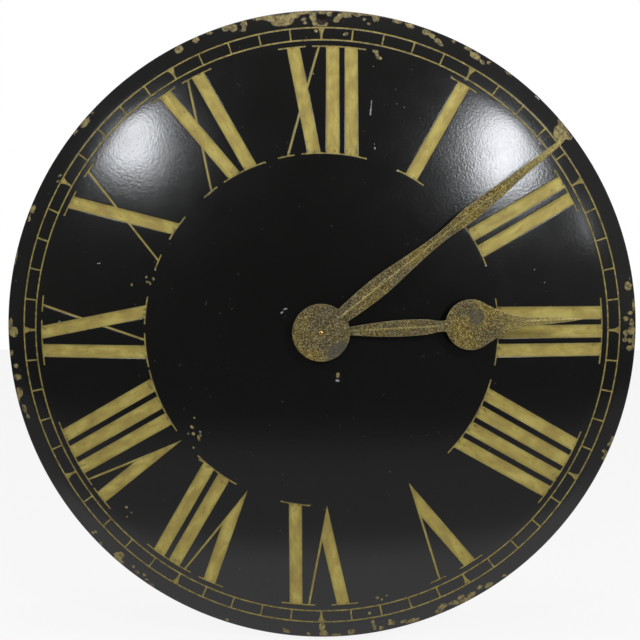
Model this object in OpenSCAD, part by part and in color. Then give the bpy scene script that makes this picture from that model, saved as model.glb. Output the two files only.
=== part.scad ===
// Convex pressed-metal wall clock with recessed Roman numerals and a battery quartz movement.
// Millimetres. The origin is the centre of the hanging hole, +Z is up and the dial faces -Y.

/* [Dial pressing] */
// Outer diameter over the rolled rim
dial_d = 540; // [480:1:620]
// Thickness of the pressed sheet
sheet_t = 0.9; // [0.7:0.05:1.2]
// Radius of the rolled edge
hem_r = 1.6; // [1.3:0.1:2.4]
// How far the rolled edge is flattened where it rests on the wall
hem_flat = 0.15; // [0.05:0.05:0.3]
// Width of the plain band between the minute track and the edge
rim_band = 13.5; // [12:0.5:20]
// Width of the band that carries the minute track
track_band = 15; // [14:0.5:20]
// Slope of the dome where it meets the track band, in degrees
dome_slope = 12; // [10:0.5:14]
// Slope of the track band, in degrees
track_slope = 15.5; // [14:0.5:18]
// Slope of the rim band, in degrees
rim_slope = 19; // [17:0.5:24]
// Diameter of the hanging hole
hang_d = 9; // [6:0.5:10]
// Distance from the hanging hole's centre to the outer edge, along the radius
hang_inset = 9.2; // [8.5:0.1:10]

/* [Numerals] */
// Height of the numerals, serif to serif
numeral_h = 92; // [70:1:96]
// Gap between the numerals and the dome's edge
numeral_margin = 3; // [2:0.5:8]
// Width of the thick strokes
bar_w = 11.1; // [8:0.1:12.5]
// Gap between neighbouring thick strokes
bar_gap = 4.4; // [3:0.1:6]
// Width of the thin strokes
hair_w = 1.9; // [1.2:0.1:3]
// Thickness of the serifs
serif_t = 1.3; // [1:0.1:2]
// Overhang of a serif past the end of its numeral
serif_out = 7; // [4:0.5:9]
// Overhang of a serif past a stroke inside its numeral
serif_in = 5; // [3:0.5:6]
// Depth of the pressed numerals
numeral_depth = 0.55; // [0.4:0.05:0.7]
// Thickness of the gold filling in the numerals
gilt_t = 0.25; // [0.15:0.05:0.35]

/* [Minute track] */
// Distance from the track's outer circle to the outer edge of its band
track_margin = 2.2; // [1.5:0.1:4]
// Distance between the track's two circles
track_w = 10.9; // [9:0.1:11.5]
// Line width of the track
line_w = 1.4; // [1:0.1:2]
// Depth of the pressed track lines
track_depth = 0.35; // [0.25:0.05:0.5]
// Half width of a five-minute mark at its narrow end
flare_foot = 0.9; // [0.7:0.1:1.4]
// Half width that a five-minute mark gains at the outer circle
flare_grow = 2.9; // [1.5:0.1:4]

/* [Hands] */
// Thickness of the hands
hand_t = 0.8; // [0.6:0.1:1.2]
// Height of the pressed rib on the hands
rib_h = 0.45; // [0.2:0.05:0.6]
// Width of the pressed rib on the hands
rib_w = 1.5; // [1:0.1:2]
// Radius of the minute hand's disc
minute_disc_r = 23.4; // [20:0.1:26]
// Length of the minute hand from the arbor to the tip
minute_l = 251; // [200:1:255]
// Clock angle of the minute hand, in degrees
minute_angle = 51.4; // [0:0.1:359]
// Radius of the hour hand's hub, under the minute hand
hour_hub_r = 10; // [8:0.5:14]
// Radius of the hour hand's disc
hour_disc_r = 20.6; // [16:0.1:22]
// Distance from the arbor to the centre of the hour hand's disc
hour_disc_at = 122; // [100:1:130]
// Length of the hour hand from the arbor to the tip
hour_l = 213; // [180:1:220]
// Clock angle of the hour hand, in degrees
hour_angle = 87; // [0:0.1:359]
// Gap between the hour hand and the minute hand
hands_gap = 2.5; // [1.5:0.1:4]

/* [Movement case] */
// Corner radius of the case
case_r = 3; // [2:0.5:4]
// Wall and floor thickness of the case
case_t = 1.2; // [1:0.1:1.5]
// Thickness of the rear cover
cover_t = 1.2; // [1:0.1:1.5]
// Thickness of the wall between the wheels and the battery
divider_t = 1; // [0.8:0.1:1.2]
// Depth of the pocket that seats the bush flange
bush_seat = 0.6; // [0.4:0.1:0.7]
// Diameter of the threaded bush
bush_d = 8; // [7.6:0.1:9]
// Diameter of the bush flange
bush_flange_d = 12; // [11:0.1:13]
// Length of the bush in front of the case
bush_l = 6; // [5:0.1:8]

/* [Battery] */
// Diameter of the AA cell
cell_d = 14.2; // [13.5:0.1:14.5]
// Length of the AA cell over its positive tip
cell_l = 50.5; // [49.2:0.1:50.5]
// Diameter of the positive tip
tip_d = 5.5; // [4.5:0.1:5.5]
// Length of the positive tip
tip_l = 1.2; // [1:0.1:1.5]
// Free space round the cell
cell_gap = 0.2; // [0.15:0.05:0.4]
// Room for a contact at each end of the cell
end_room = 1.55; // [1.4:0.05:2]

/* [Wheels] */
// Thickness of a wheel
wheel_t = 0.7; // [0.5:0.05:0.8]
// Distance from one wheel layer to the next
layer_step = 1.6; // [1.5:0.05:1.65]
// Extra length of a pinion on each side of its wheel
pinion_over = 0.15; // [0.1:0.05:0.2]
// Module of the motion wheel and the pinions that turn it
motion_m = 0.3; // [0.28:0.01:0.3]
// Module of the centre wheel
centre_m = 0.2; // [0.18:0.01:0.2]
// Module of the other train wheels
train_m = 0.18; // [0.16:0.01:0.18]
// Radius of the wheel arbors
arbor_r = 0.35; // [0.25:0.05:0.4]
// Running clearance on the radius
run_gap = 0.05; // [0.03:0.01:0.08]
// Radius of the minute arbor in front of its pinion
minute_r = 1.75; // [1.5:0.05:1.8]
// Height of the domed end of the minute arbor
tip_dome = 0.6; // [0.3:0.05:0.8]
// Wall of the hour wheel's tube
hour_tube_t = 0.7; // [0.6:0.05:0.8]

/* [Setting knob] */
// Diameter of the setting knob
knob_d = 11; // [9:0.5:13]
// Height of the setting knob
knob_h = 5; // [4:0.5:7]
// Number of grooves round the setting knob
knob_grooves = 16; // [12:1:20]

/* [Hidden] */

eps = 0.01;
cut = 1;
round_fn = 96;
dome_fn = 256;

// Colours
black_gloss = "#161616";
gold = "#a8954f";
bronze = "#6f6540";
brass = "#b8973f";
steel = "#a9abad";
copper = "#a3592b";
case_grey = "#2e2f31";
gear_white = "#e6e3da";
rubber = "#1d1d1d";
board_green = "#2d5a3a";
cell_blue = "#2f4f7d";

// Profile of the dial pressing: heights are above the wall, towards the viewer
dial_r = dial_d / 2;
hem_at = dial_r - hem_r;
hem_z = hem_r - hem_flat;
track_edge = dial_r - rim_band;
dome_edge = track_edge - track_band;
hem_top_r = hem_at + hem_r * sin(rim_slope);
hem_top_z = hem_z + hem_r * cos(rim_slope);
track_edge_z = hem_top_z + (hem_top_r - track_edge) * tan(rim_slope);
dome_edge_z = track_edge_z + track_band * tan(track_slope);
dome_r = dome_edge / sin(dome_slope);
dome_z = dome_edge_z - dome_r * cos(dome_slope);
apex_z = dome_z + dome_r;
dome_back = sheet_t / cos(dome_slope);
seam = 0.05;
rim_back = sheet_t / cos(rim_slope);
hang_r = dial_r - hang_inset;
function rim_z(r) = hem_top_z + (hem_top_r - r) * tan(rim_slope);
hang_z = rim_z(hang_r) - rim_back / 2;

// Numerals
numeral_out = dome_edge - numeral_margin;
numeral_in = numeral_out - numeral_h;
bar_pitch = bar_w + bar_gap;
serif_join = serif_out + serif_in;
stroke_past = 6;
gilt_side = 0.08;
gilt_seat = 0.03;

function bars(count, mid) = [for (i = [0:count - 1]) ["I", mid + i - (count - 1) / 2]];

// Each numeral is a list of letters, twelve first, measured in pitches of the thick strokes.
// I: place. X: middle, lean of the thick stroke, lean of the thin stroke.
// V: place of the point, reach to the left, reach to the right.
numerals = [
    concat([["X", -0.95, 1.16, 1.68]], bars(2, 1.11)),
    bars(1, 0.03),
    bars(2, 0.05),
    bars(3, 0.03),
    bars(4, -0.01),
    [["V", 0, 0.68, 1.245]],
    concat([["V", -0.31, 0.93, 1.01]], bars(1, 1.4)),
    concat([["V", -0.865, 0.75, 0.79]], bars(2, 1.115)),
    concat([["V", -1.34, 0.61, 0.62]], bars(3, 1.025)),
    concat(bars(1, -1.12), [["X", 0.465, 1.19, 1.885]]),
    [["X", 0.045, 1.665, 2.28]],
    concat([["X", -0.4, 1.12, 1.865]], bars(1, 1.11))
];

// Where a letter's strokes end, left to right, at its outer and its inner serif line
function span(at, w) = [at * bar_pitch - w / 2, at * bar_pitch + w / 2];
function outer_ends(l) =
    l[0] == "I" ? [span(l[1], bar_w)]
    : l[0] == "X" ? [span(l[1] - l[2] / 2, bar_w), span(l[1] + l[3] / 2, hair_w)]
    : [span(l[1] - l[2], bar_w), span(l[1] + l[3], hair_w)];
function inner_ends(l) =
    l[0] == "I" ? [span(l[1], bar_w)]
    : l[0] == "X" ? [span(l[1] - l[3] / 2, hair_w), span(l[1] + l[2] / 2, bar_w)]
    : [];

// Serifs over a row of stroke ends: ends that are close together share one serif
function serifs(ends) = [
    for (i = [0:1:len(ends) - 1])
        if (i == 0 || ends[i][0] - ends[i - 1][1] > serif_join)
            let (last = serif_last(ends, i))
            [ends[i][0] - (i == 0 ? serif_out : serif_in),
             ends[last][1] + (last == len(ends) - 1 ? serif_out : serif_in)]
];
function serif_last(ends, i) =
    i == len(ends) - 1 || ends[i + 1][0] - ends[i][1] > serif_join ? i : serif_last(ends, i + 1);
function flatten(lists) = [for (l = lists) for (e = l) e];

// Minute track
track_out = track_edge - track_margin;
track_in = track_out - track_w;
minutes = 60;
per_hour = 5;
flare_steps = 6;

// Movement: depths are counted backwards from the front face of the case
washer_t = 1.5;
washer_gap = 0.05;
contact_t = 0.4;
contact_gap = 0.1;
contact_w = 9;
bump_foot_r = 3;
bump_top_r = 1.6;
case_z = apex_z - sheet_t - washer_gap - washer_t;
floor_gap = 0.4;
first_layer = case_t + floor_gap;
function layer(n) = first_layer + n * layer_step;
bush_gap = 0.05;
bush_room = 0.3;
bush_bore = minute_r + run_gap + hour_tube_t + run_gap;

// Teeth: addendum and dedendum in modules, widths as shares of a tooth's pitch
tooth_add = 0.8;
wheel_ded = 1;
pinion_ded = 1.1;
wheel_root = 0.62;
pinion_root = 0.5;
tooth_tip = 0.18;

// Tooth counts: the motion work gears the hour hand down twelve times
cannon_z = 12;
motion_z = 36;
motion_pinion_z = 10;
hour_z = 40;
set_z = 12;
centre_z = 64;
third_z = 60;
seconds_z = 48;
intermediate_z = 40;
train_pinion_z = 8;
motion_dist = (cannon_z + motion_z) * motion_m / 2;
hour_m = 2 * motion_dist / (hour_z + motion_pinion_z);

function polar(r, a) = [r * cos(a), r * sin(a)];

// Places of the arbors, each one a mesh distance from the last
motion_dir = -30;
set_dir = 30;
third_dir = 135;
seconds_dir = 60;
intermediate_dir = 0;
rotor_dir = 30;
motion_at = polar(motion_dist, motion_dir);
set_at = motion_at + polar((motion_z + set_z) * motion_m / 2, set_dir);
third_at = polar((centre_z + train_pinion_z) * centre_m / 2, third_dir);
seconds_at = third_at + polar((third_z + train_pinion_z) * train_m / 2, seconds_dir);
intermediate_at = seconds_at + polar((seconds_z + train_pinion_z) * train_m / 2, intermediate_dir);
rotor_at = intermediate_at + polar((intermediate_z + train_pinion_z) * train_m / 2, rotor_dir);
pivot_in = 0.7;
pivot_end = 0.1;
arbor_front = case_t - pivot_in;
pivot_r = 0.8;
centre_hub_r = 2;
hub_front = 0.2;
hub_back = 0.4;
clutch_out_r = 2.2;
clutch_seat = 0.02;
clutch_gap = 0.05;

// A wheel with a tooth gap facing its partner, and the tooth of a pinion facing its wheel
function gap_towards(dir, z) = dir + 180 / z;
// Phase of a gear with z_b teeth that meshes with one of z_a teeth at phase_a, seen in direction dir
function meshed(dir, phase_a, z_a, z_b) = dir + 180 - 360 / z_b * (0.5 - (dir - phase_a) * z_a / 360);
motion_phase = gap_towards(motion_dir + 180, motion_z);

// Rotor, stator and coil
rotor_r = 1.6;
rotor_gap = 0.4;
stator_t = 0.8;
stator_gap = 0.6;
stator_at = layer(5) + wheel_t + stator_gap;
magnet_t = 1.4;
magnet_at = stator_at + stator_t / 2 - magnet_t / 2;

// Depth of the case: the deeper of the cell and the wheels with their bridge
bridge_t = 1;
bridge_gap = 0.3;
cover_gap = 0.6;
cell_inset = 0.4;
train_depth = magnet_at + magnet_t + bridge_gap + bridge_t + cover_gap + cover_t;
cell_depth = case_t + cell_gap + cell_d + cell_inset;
case_d = max(train_depth, cell_depth);
cover_at = case_d - cover_t;
bridge_at = cover_at - cover_gap - bridge_t;
arbor_short = 0.2;
arbor_back = bridge_at + bridge_t - arbor_short;

// Width of the case from the cell, and height from the wheels and the cell below them
chamber_gap = 1.96;
chamber_y = motion_at[1] - motion_m * (motion_z / 2 + tooth_add) - chamber_gap;
divider_y = chamber_y - divider_t;
cell_y = divider_y - cell_gap - cell_d / 2;
cell_z = case_t + cell_gap + cell_d / 2;
inside_x = cell_l / 2 + end_room;
inside_y = cell_gap + cell_d / 2 - cell_y;
case_w = 2 * (inside_x + case_t);
case_h = 2 * (inside_y + case_t);
stator_ring_r = 3.4;
coil_rise = 8.85;
coil_y = rotor_at[1] + coil_rise;
yoke_at = 1.4;
yoke_h = 2.8;
coil_half = 7.5;
leg_w = 3.5;
core_w = 2.2;
bobbin_r = 1.9;
coil_r = 2.8;
flange_r = 3;
flange_t = 0.8;
bobbin_short = 0.1;
bobbin_half = coil_half - bobbin_short;
winding_gap = 0.05;
winding_half = bobbin_half - flange_t - 2 * winding_gap;
stator_post_r = 1.2;
stator_post_below = 3;

// Circuit board
board_w = 11.5;
board_h = 32;
board_t = 0.8;
board_at = 11;
board_margin = 1.2;
board_x = -inside_x + board_margin + board_w / 2;
board_y = 7;
board_post_inset = 3;
chip_r = 2.6;
chip_t = 1.1;
chip_below = 5;
crystal_r = 1;
crystal_l = 6;
crystal_above = 2;

// Bridge and its posts
post_r = 1.3;
bridge_posts = [[-11.3, -8.6], [13.3, -8.6], [-11.3, 15.3], [13.3, 10]];
bridge_w = 28.4;
bridge_h = 27.6;
bridge_middle = [1, 3.4];
bridge_corner = 2;
set_room = 0.4;
cover_fit = 0.1;

// Stack in front of the dial: heights above the wall
seat_gap = 0.02;
washer_out_r = 8.5;
rubber_over = 1.5;
dial_washer_t = 0.6;
dial_washer_z = apex_z + seat_gap;
nut_flat = 11;
nut_t = 2;
nut_z = dial_washer_z + dial_washer_t + seat_gap;
bush_top_z = case_z + bush_l;
collet_gap = 0.75;
collet_flange = 1;
hour_hand_z = max(bush_top_z, nut_z + nut_t) + collet_gap + collet_flange;
hour_collet_r = 4.2;
hour_tube_r = minute_r + run_gap + hour_tube_t;
tube_past = 0.8;
hour_tube_top = hour_hand_z + hand_t + tube_past;
minute_hand_z = hour_hand_z + hand_t + rib_h + hands_gap;
minute_collet_r = 3.6;
arbor_past = 1.6;
minute_top = minute_hand_z + hand_t + arbor_past;
tip_end = 1;
collet_neck = 0.8;
press_gap = 0.01;

// Setting knob behind the case
knob_gap = 0.4;
groove_r = 0.7;
groove_out = 0.2;
groove_fn = 24;

// Smooth curve through the given stations
curve_steps = 4;
function curve(p) = concat(
    [for (i = [0:len(p) - 2])
        let (a = p[max(i - 1, 0)], b = p[i], c = p[i + 1], d = p[min(i + 2, len(p) - 1)])
        for (k = [0:curve_steps - 1])
            let (t = k / curve_steps)
            (2 * b + (c - a) * t + (2 * a - 5 * b + 4 * c - d) * t * t
                + (3 * b - a - 3 * c + d) * t * t * t) / 2],
    [p[len(p) - 1]]);

// Distance from the arbor and half width along each hand
minute_stations = [[minute_disc_r - 3, 6.2], [0.13 * minute_l, 7], [0.22 * minute_l, 8.1],
    [0.32 * minute_l, 6.9], [0.42 * minute_l, 4.7], [0.52 * minute_l, 4.3], [0.61 * minute_l, 6.2],
    [0.7 * minute_l, 5.5], [0.8 * minute_l, 3.4], [0.92 * minute_l, 2.5], [0.98 * minute_l, 1.4],
    [minute_l, 0.3]];
hour_stem = [[hour_hub_r - 1, 2.6], [0.19 * hour_disc_at, 3.5], [0.36 * hour_disc_at, 5.6],
    [0.55 * hour_disc_at, 6.7], [0.72 * hour_disc_at, 6], [hour_disc_at - hour_disc_r - 1, 4.5],
    [hour_disc_at - hour_disc_r + 1, 6]];
disc_tangent = 35;
rib_past = 2;
rib_share = 0.9;
hour_tail = [[hour_disc_at + hour_disc_r * sin(disc_tangent), hour_disc_r * cos(disc_tangent)],
    [hour_disc_at + hour_disc_r + 0.5, 11.6], [hour_disc_at + 1.55 * hour_disc_r, 7.2],
    [hour_disc_at + 2.05 * hour_disc_r, 4.4], [0.873 * hour_l, 2.7], [0.953 * hour_l, 1.5],
    [hour_l, 0.3]];

// Places the dial's own frame: x right, y up, z towards the viewer, dial axis at x = y = 0
module dial_frame() {
    translate([0, hang_z, -hang_r]) rotate([90, 0, 0]) children();
}

// Places the movement, whose front face is at z = 0 and whose depth runs towards -z
module movement_frame() {
    dial_frame() translate([0, 0, case_z]) children();
}

// A flat piece of the movement between two depths
module slab(from, to) {
    translate([0, 0, -to]) linear_extrude(to - from) children();
}

module rounded_square(w, h, r) {
    square([w - 2 * r, h], center = true);
    square([w, h - 2 * r], center = true);
    for (x = [-1, 1], y = [-1, 1])
        translate([x * (w / 2 - r), y * (h / 2 - r)]) circle(r, $fn = round_fn);
}

module ring(r_out, r_in) {
    difference() {
        circle(r_out, $fn = round_fn);
        circle(r_in, $fn = round_fn);
    }
}

// One toothed wheel: a tooth points in the direction phase
module gear(z, m, phase, ded, root) {
    r_tip = m * (z / 2 + tooth_add);
    r_root = m * (z / 2 - ded);
    half = 180 / z;
    polygon([for (i = [0:z - 1])
        for (p = [[r_root, -root], [r_tip, -tooth_tip], [r_tip, tooth_tip], [r_root, root]])
            polar(p[0], phase + 2 * i * half + p[1] * half)]);
}

module wheel_gear(z, m, phase) {
    gear(z, m, phase, wheel_ded, wheel_root);
}

module pinion_gear(z, m, phase) {
    gear(z, m, phase, pinion_ded, pinion_root);
}

// A wheel and its pinion on a plain arbor that runs from the case floor to the bridge
module wheel_on_arbor(at, wheel_layer, wheel_z, wheel_mod, wheel_phase, pinion_layer, pinion_z, pinion_mod,
        pinion_phase) {
    translate(at) {
        slab(arbor_front, arbor_back) circle(arbor_r, $fn = round_fn);
        slab(layer(wheel_layer), layer(wheel_layer) + wheel_t) wheel_gear(wheel_z, wheel_mod, wheel_phase);
        slab(layer(pinion_layer) - pinion_over, layer(pinion_layer) + wheel_t + pinion_over)
            pinion_gear(pinion_z, pinion_mod, pinion_phase);
    }
}

// Numerals in the plane of the dial, widened by grow on each side
module stroke(out, in, w) {
    lean = (out - in) / numeral_h * stroke_past;
    polygon([
        [out + lean - w / 2, numeral_out + stroke_past], [out + lean + w / 2, numeral_out + stroke_past],
        [in - lean + w / 2, numeral_in - stroke_past], [in - lean - w / 2, numeral_in - stroke_past]]);
}

module letter(l, grow) {
    at = l[1] * bar_pitch;
    if (l[0] == "I") stroke(at, at, bar_w + 2 * grow);
    if (l[0] == "X") {
        thick = l[2] * bar_pitch / 2;
        thin = l[3] * bar_pitch / 2;
        stroke(at - thick, at + thick, bar_w + 2 * grow);
        stroke(at + thin, at - thin, hair_w + 2 * grow);
    }
    if (l[0] == "V") vee(at, l[2] * bar_pitch, l[3] * bar_pitch, grow);
}

// The letter V: its thick stroke on the left and its thin stroke on the right end in one point
module vee(point, left, right, grow) {
    run_l = (left + bar_w / 2) / numeral_h;
    run_r = (right + hair_w / 2) / numeral_h;
    rise = numeral_h + stroke_past;
    meet = (bar_w + hair_w + 2 * grow) / (run_l + run_r);
    translate([point, numeral_in]) polygon([
        [0, -2 * grow],
        [run_r * rise + grow, rise],
        [run_r * rise - hair_w - grow, rise],
        [bar_w + grow - run_l * meet, meet],
        [bar_w + grow - run_l * rise, rise],
        [-run_l * rise - grow, rise]]);
}

module serif(from, to, r_out, grow) {
    intersection() {
        difference() {
            circle(r_out + grow, $fn = dome_fn);
            circle(r_out - serif_t - grow, $fn = dome_fn);
        }
        translate([from - grow, 0]) square([to - from + 2 * grow, numeral_out + 2]);
    }
}

module numeral(letters, grow) {
    intersection() {
        difference() {
            circle(numeral_out - serif_t / 2, $fn = dome_fn);
            circle(numeral_in + serif_t / 2, $fn = dome_fn);
        }
        union() for (l = letters) letter(l, grow);
    }
    for (s = serifs(flatten([for (l = letters) outer_ends(l)])))
        serif(s[0], s[1], numeral_out, grow);
    for (s = serifs(flatten([for (l = letters) inner_ends(l)])))
        serif(s[0], s[1], numeral_in + serif_t, grow);
}

module all_numerals(grow) {
    linear_extrude(apex_z + cut)
        for (h = [0:len(numerals) - 1]) rotate(-360 / len(numerals) * h) numeral(numerals[h], grow);
}

module dome_ball(inset) {
    translate([0, 0, dome_z]) sphere(dome_r - inset, $fn = dome_fn);
}

// Minute track in the plane of the dial, widened by grow on each side
module track_plan(grow) {
    for (r = [track_out, track_in])
        difference() {
            circle(r + line_w / 2 + grow, $fn = dome_fn);
            circle(r - line_w / 2 - grow, $fn = dome_fn);
        }
    for (i = [0:minutes - 1]) rotate(-360 / minutes * i) track_mark(i % per_hour == 0, grow);
}

module track_mark(five, grow) {
    if (five) {
        half = [for (i = [0:flare_steps])
            [flare_foot + flare_grow * pow(i / flare_steps, 3) + grow,
             track_in + track_w * i / flare_steps]];
        polygon(concat(half, [for (i = [flare_steps:-1:0]) [-half[i][0], half[i][1]]]));
    } else
        translate([-line_w / 2 - grow, track_in]) square([line_w + 2 * grow, track_w]);
}

// Everything above the track band once its surface is lowered by drop
module above_track(drop) {
    low = drop / cos(track_slope);
    top = dome_edge_z + cut;
    rotate_extrude($fn = dome_fn)
        polygon([[dome_edge, top], [dome_edge, dome_edge_z - low], [track_edge, track_edge_z - low],
            [track_edge, top]]);
}

module dial_shell() color(black_gloss) dial_frame() {
    difference() {
        union() {
            intersection() {
                difference() {
                    dome_ball(0);
                    dome_ball(sheet_t);
                }
                cylinder(r = dome_edge + seam, h = 2 * apex_z, $fn = dome_fn);
            }
            rotate_extrude($fn = dome_fn) {
                polygon([[dome_edge, dome_edge_z], [track_edge, track_edge_z], [hem_top_r, hem_top_z],
                    [hem_at, hem_z], [hem_at, rim_z(hem_at) - rim_back],
                    [track_edge, track_edge_z - rim_back], [dome_edge, dome_edge_z - dome_back]]);
                intersection() {
                    translate([hem_at, hem_z]) circle(hem_r, $fn = round_fn);
                    translate([hem_at - 2 * hem_r, 0]) square([4 * hem_r, 4 * hem_r]);
                }
            }
        }
        difference() {
            all_numerals(0);
            dome_ball(numeral_depth);
        }
        intersection() {
            linear_extrude(apex_z) track_plan(0);
            above_track(track_depth);
        }
        cylinder(r = bush_d / 2 + bush_room, h = 2 * apex_z, $fn = round_fn);
        translate([0, hang_r, hang_z]) rotate([-rim_slope, 0, 0])
            cylinder(d = hang_d, h = 6 * sheet_t, center = true, $fn = round_fn);
    }
}

module numeral_inlay() color(gold) dial_frame() {
    intersection() {
        difference() {
            dome_ball(numeral_depth - gilt_seat - gilt_t);
            dome_ball(numeral_depth - gilt_seat);
        }
        all_numerals(-gilt_side);
    }
}

module track_inlay() color(gold) dial_frame() {
    intersection() {
        linear_extrude(apex_z) track_plan(-gilt_side);
        difference() {
            above_track(track_depth - gilt_seat);
            above_track(gilt_seat);
        }
    }
}

module rubber_washer() color(rubber) movement_frame()
    slab(-washer_t, 0) ring(washer_out_r + rubber_over, bush_d / 2 + bush_gap);

module dial_washer() color(brass) dial_frame() translate([0, 0, dial_washer_z])
    linear_extrude(dial_washer_t) ring(washer_out_r, bush_d / 2 + bush_gap);

module dial_nut() color(brass) dial_frame() translate([0, 0, nut_z]) difference() {
    cylinder(r = nut_flat / sqrt(3), h = nut_t, $fn = 6);
    translate([0, 0, -cut]) cylinder(r = bush_d / 2 + bush_gap, h = nut_t + 2 * cut, $fn = round_fn);
}

module threaded_bush() color(brass) movement_frame() difference() {
    union() {
        slab(case_t - bush_seat, case_t) circle(bush_flange_d / 2, $fn = round_fn);
        slab(-bush_l, case_t - bush_seat) circle(bush_d / 2, $fn = round_fn);
    }
    slab(-bush_l - cut, case_t + cut) circle(bush_bore, $fn = round_fn);
}

// Blind bore in the case floor for an arbor of radius r
module pivot_bore(r) {
    slab(arbor_front - pivot_end, case_t + cut) circle(r + run_gap, $fn = round_fn);
}

module front_housing() color(case_grey) movement_frame() {
    difference() {
        slab(0, case_d) rounded_square(case_w, case_h, case_r);
        slab(case_t, case_d + cut) {
            translate([-inside_x, -inside_y]) square([2 * inside_x, divider_y + inside_y]);
            translate([-inside_x, chamber_y]) square([2 * inside_x, inside_y - chamber_y]);
        }
        slab(cover_at, case_d + cut) translate([-case_w, chamber_y - divider_t / 2])
            square([2 * case_w, case_h]);
        slab(-cut, case_t + cut) circle(bush_d / 2 + bush_gap, $fn = round_fn);
        slab(case_t - bush_seat - bush_gap, case_t + cut)
            circle(bush_flange_d / 2 + bush_gap, $fn = round_fn);
        for (p = [motion_at, third_at, seconds_at, intermediate_at, rotor_at])
            translate(p) pivot_bore(arbor_r);
        translate(set_at) pivot_bore(pivot_r);
    }
    for (p = bridge_posts) translate(p) slab(case_t - eps, bridge_at) circle(post_r, $fn = round_fn);
    for (y = [-1, 1]) translate([board_x, board_y + y * (board_h / 2 - board_post_inset)])
        slab(case_t - eps, board_at) circle(post_r, $fn = round_fn);
    for (x = [-1, 1]) translate([rotor_at[0] + x * (coil_half + leg_w / 2), coil_y - stator_post_below])
        slab(case_t - eps, stator_at) circle(stator_post_r, $fn = round_fn);
}

module gear_bridge() color(case_grey) movement_frame() {
    difference() {
        slab(bridge_at, bridge_at + bridge_t)
            translate(bridge_middle) rounded_square(bridge_w, bridge_h, bridge_corner);
        for (p = [motion_at, third_at, seconds_at, intermediate_at, rotor_at])
            translate(p) slab(bridge_at - cut, bridge_at + bridge_t + cut)
                circle(arbor_r + run_gap, $fn = round_fn);
        slab(bridge_at - cut, bridge_at + bridge_t + cut) circle(pivot_r + run_gap, $fn = round_fn);
        translate(set_at) slab(bridge_at - cut, bridge_at + bridge_t + cut)
            circle(pivot_r + set_room, $fn = round_fn);
    }
}

module rear_cover() color(case_grey) movement_frame() {
    cover_y = chamber_y - divider_t / 2 + cover_fit;
    difference() {
        slab(cover_at, case_d) intersection() {
            rounded_square(case_w, case_h, case_r);
            translate([-case_w, cover_y]) square([2 * case_w, case_h]);
        }
        translate(set_at) slab(cover_at - cut, case_d + cut) circle(pivot_r + run_gap, $fn = round_fn);
    }
}

module circuit_board() color(board_green) movement_frame() translate([board_x, board_y])
    slab(board_at, board_at + board_t) square([board_w, board_h], center = true);

module controller_chip() color(rubber) movement_frame() translate([board_x, board_y - chip_below])
    slab(board_at - chip_t, board_at) circle(chip_r, $fn = round_fn);

module quartz_crystal() color(steel) movement_frame()
    translate([board_x, board_y + crystal_above, -board_at + crystal_r])
        rotate([-90, 0, 0]) cylinder(r = crystal_r, h = crystal_l, $fn = round_fn);

module stator() color(steel) movement_frame() slab(stator_at, stator_at + stator_t)
    translate(rotor_at) difference() {
        union() {
            circle(stator_ring_r, $fn = round_fn);
            translate([-coil_half - leg_w, yoke_at]) square([2 * (coil_half + leg_w), yoke_h]);
            for (x = [-1, 1])
                translate([x * (coil_half + leg_w / 2) - leg_w / 2, yoke_at]) square([leg_w, coil_rise]);
        }
        circle(rotor_r + rotor_gap, $fn = round_fn);
    }

module coil_core() color(steel) movement_frame() slab(stator_at, stator_at + stator_t)
    translate([rotor_at[0], coil_y]) square([2 * coil_half, core_w], center = true);

module along_coil(from, length) {
    translate([rotor_at[0] + from, coil_y, -stator_at - stator_t / 2]) rotate([0, 90, 0])
        linear_extrude(length) children();
}

module coil_bobbin() color(case_grey) movement_frame() difference() {
    union() {
        for (x = [-bobbin_half, bobbin_half - flange_t])
            along_coil(x, flange_t) circle(flange_r, $fn = round_fn);
        along_coil(-bobbin_half, 2 * bobbin_half) circle(bobbin_r, $fn = round_fn);
    }
    along_coil(-coil_half - cut, 2 * coil_half + 2 * cut)
        square([stator_t + 2 * run_gap, core_w + 2 * run_gap], center = true);
}

module coil_winding() color(copper) movement_frame()
    along_coil(-winding_half, 2 * winding_half) ring(coil_r, bobbin_r + winding_gap);

// Contact plate on an end wall of the battery bay, with a pressed bump towards the cell
module contact(side) {
    reach = end_room - contact_t - contact_gap;
    translate([side * (inside_x - contact_t / 2), cell_y, -cell_z]) {
        cube([contact_t, contact_w, contact_w], center = true);
        translate([-side * (contact_t / 2 - eps), 0, 0]) rotate([0, -side * 90, 0])
            cylinder(r1 = bump_foot_r, r2 = bump_top_r, h = reach + eps, $fn = round_fn);
    }
}

module negative_contact() color(steel) movement_frame() contact(-1);

module positive_contact() color(steel) movement_frame() contact(1);

module aa_cell() color(cell_blue) movement_frame() translate([-cell_l / 2, cell_y, -cell_z])
    rotate([0, 90, 0]) {
        cylinder(d = cell_d, h = cell_l - tip_l, $fn = round_fn);
        cylinder(d = tip_d, h = cell_l, $fn = round_fn);
    }

module rotor() color(steel) movement_frame() translate(rotor_at) {
    slab(arbor_front, arbor_back) circle(arbor_r, $fn = round_fn);
    slab(magnet_at, magnet_at + magnet_t) circle(rotor_r, $fn = round_fn);
    slab(layer(5) - pinion_over, layer(5) + wheel_t + pinion_over)
        pinion_gear(train_pinion_z, train_m, rotor_dir + 180);
}

module intermediate_wheel() color(gear_white) movement_frame()
    wheel_on_arbor(intermediate_at, 5, intermediate_z, train_m, gap_towards(rotor_dir, intermediate_z),
        4, train_pinion_z, train_m, intermediate_dir + 180);

module seconds_wheel() color(gear_white) movement_frame()
    wheel_on_arbor(seconds_at, 4, seconds_z, train_m, gap_towards(intermediate_dir, seconds_z),
        3, train_pinion_z, train_m, seconds_dir + 180);

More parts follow.
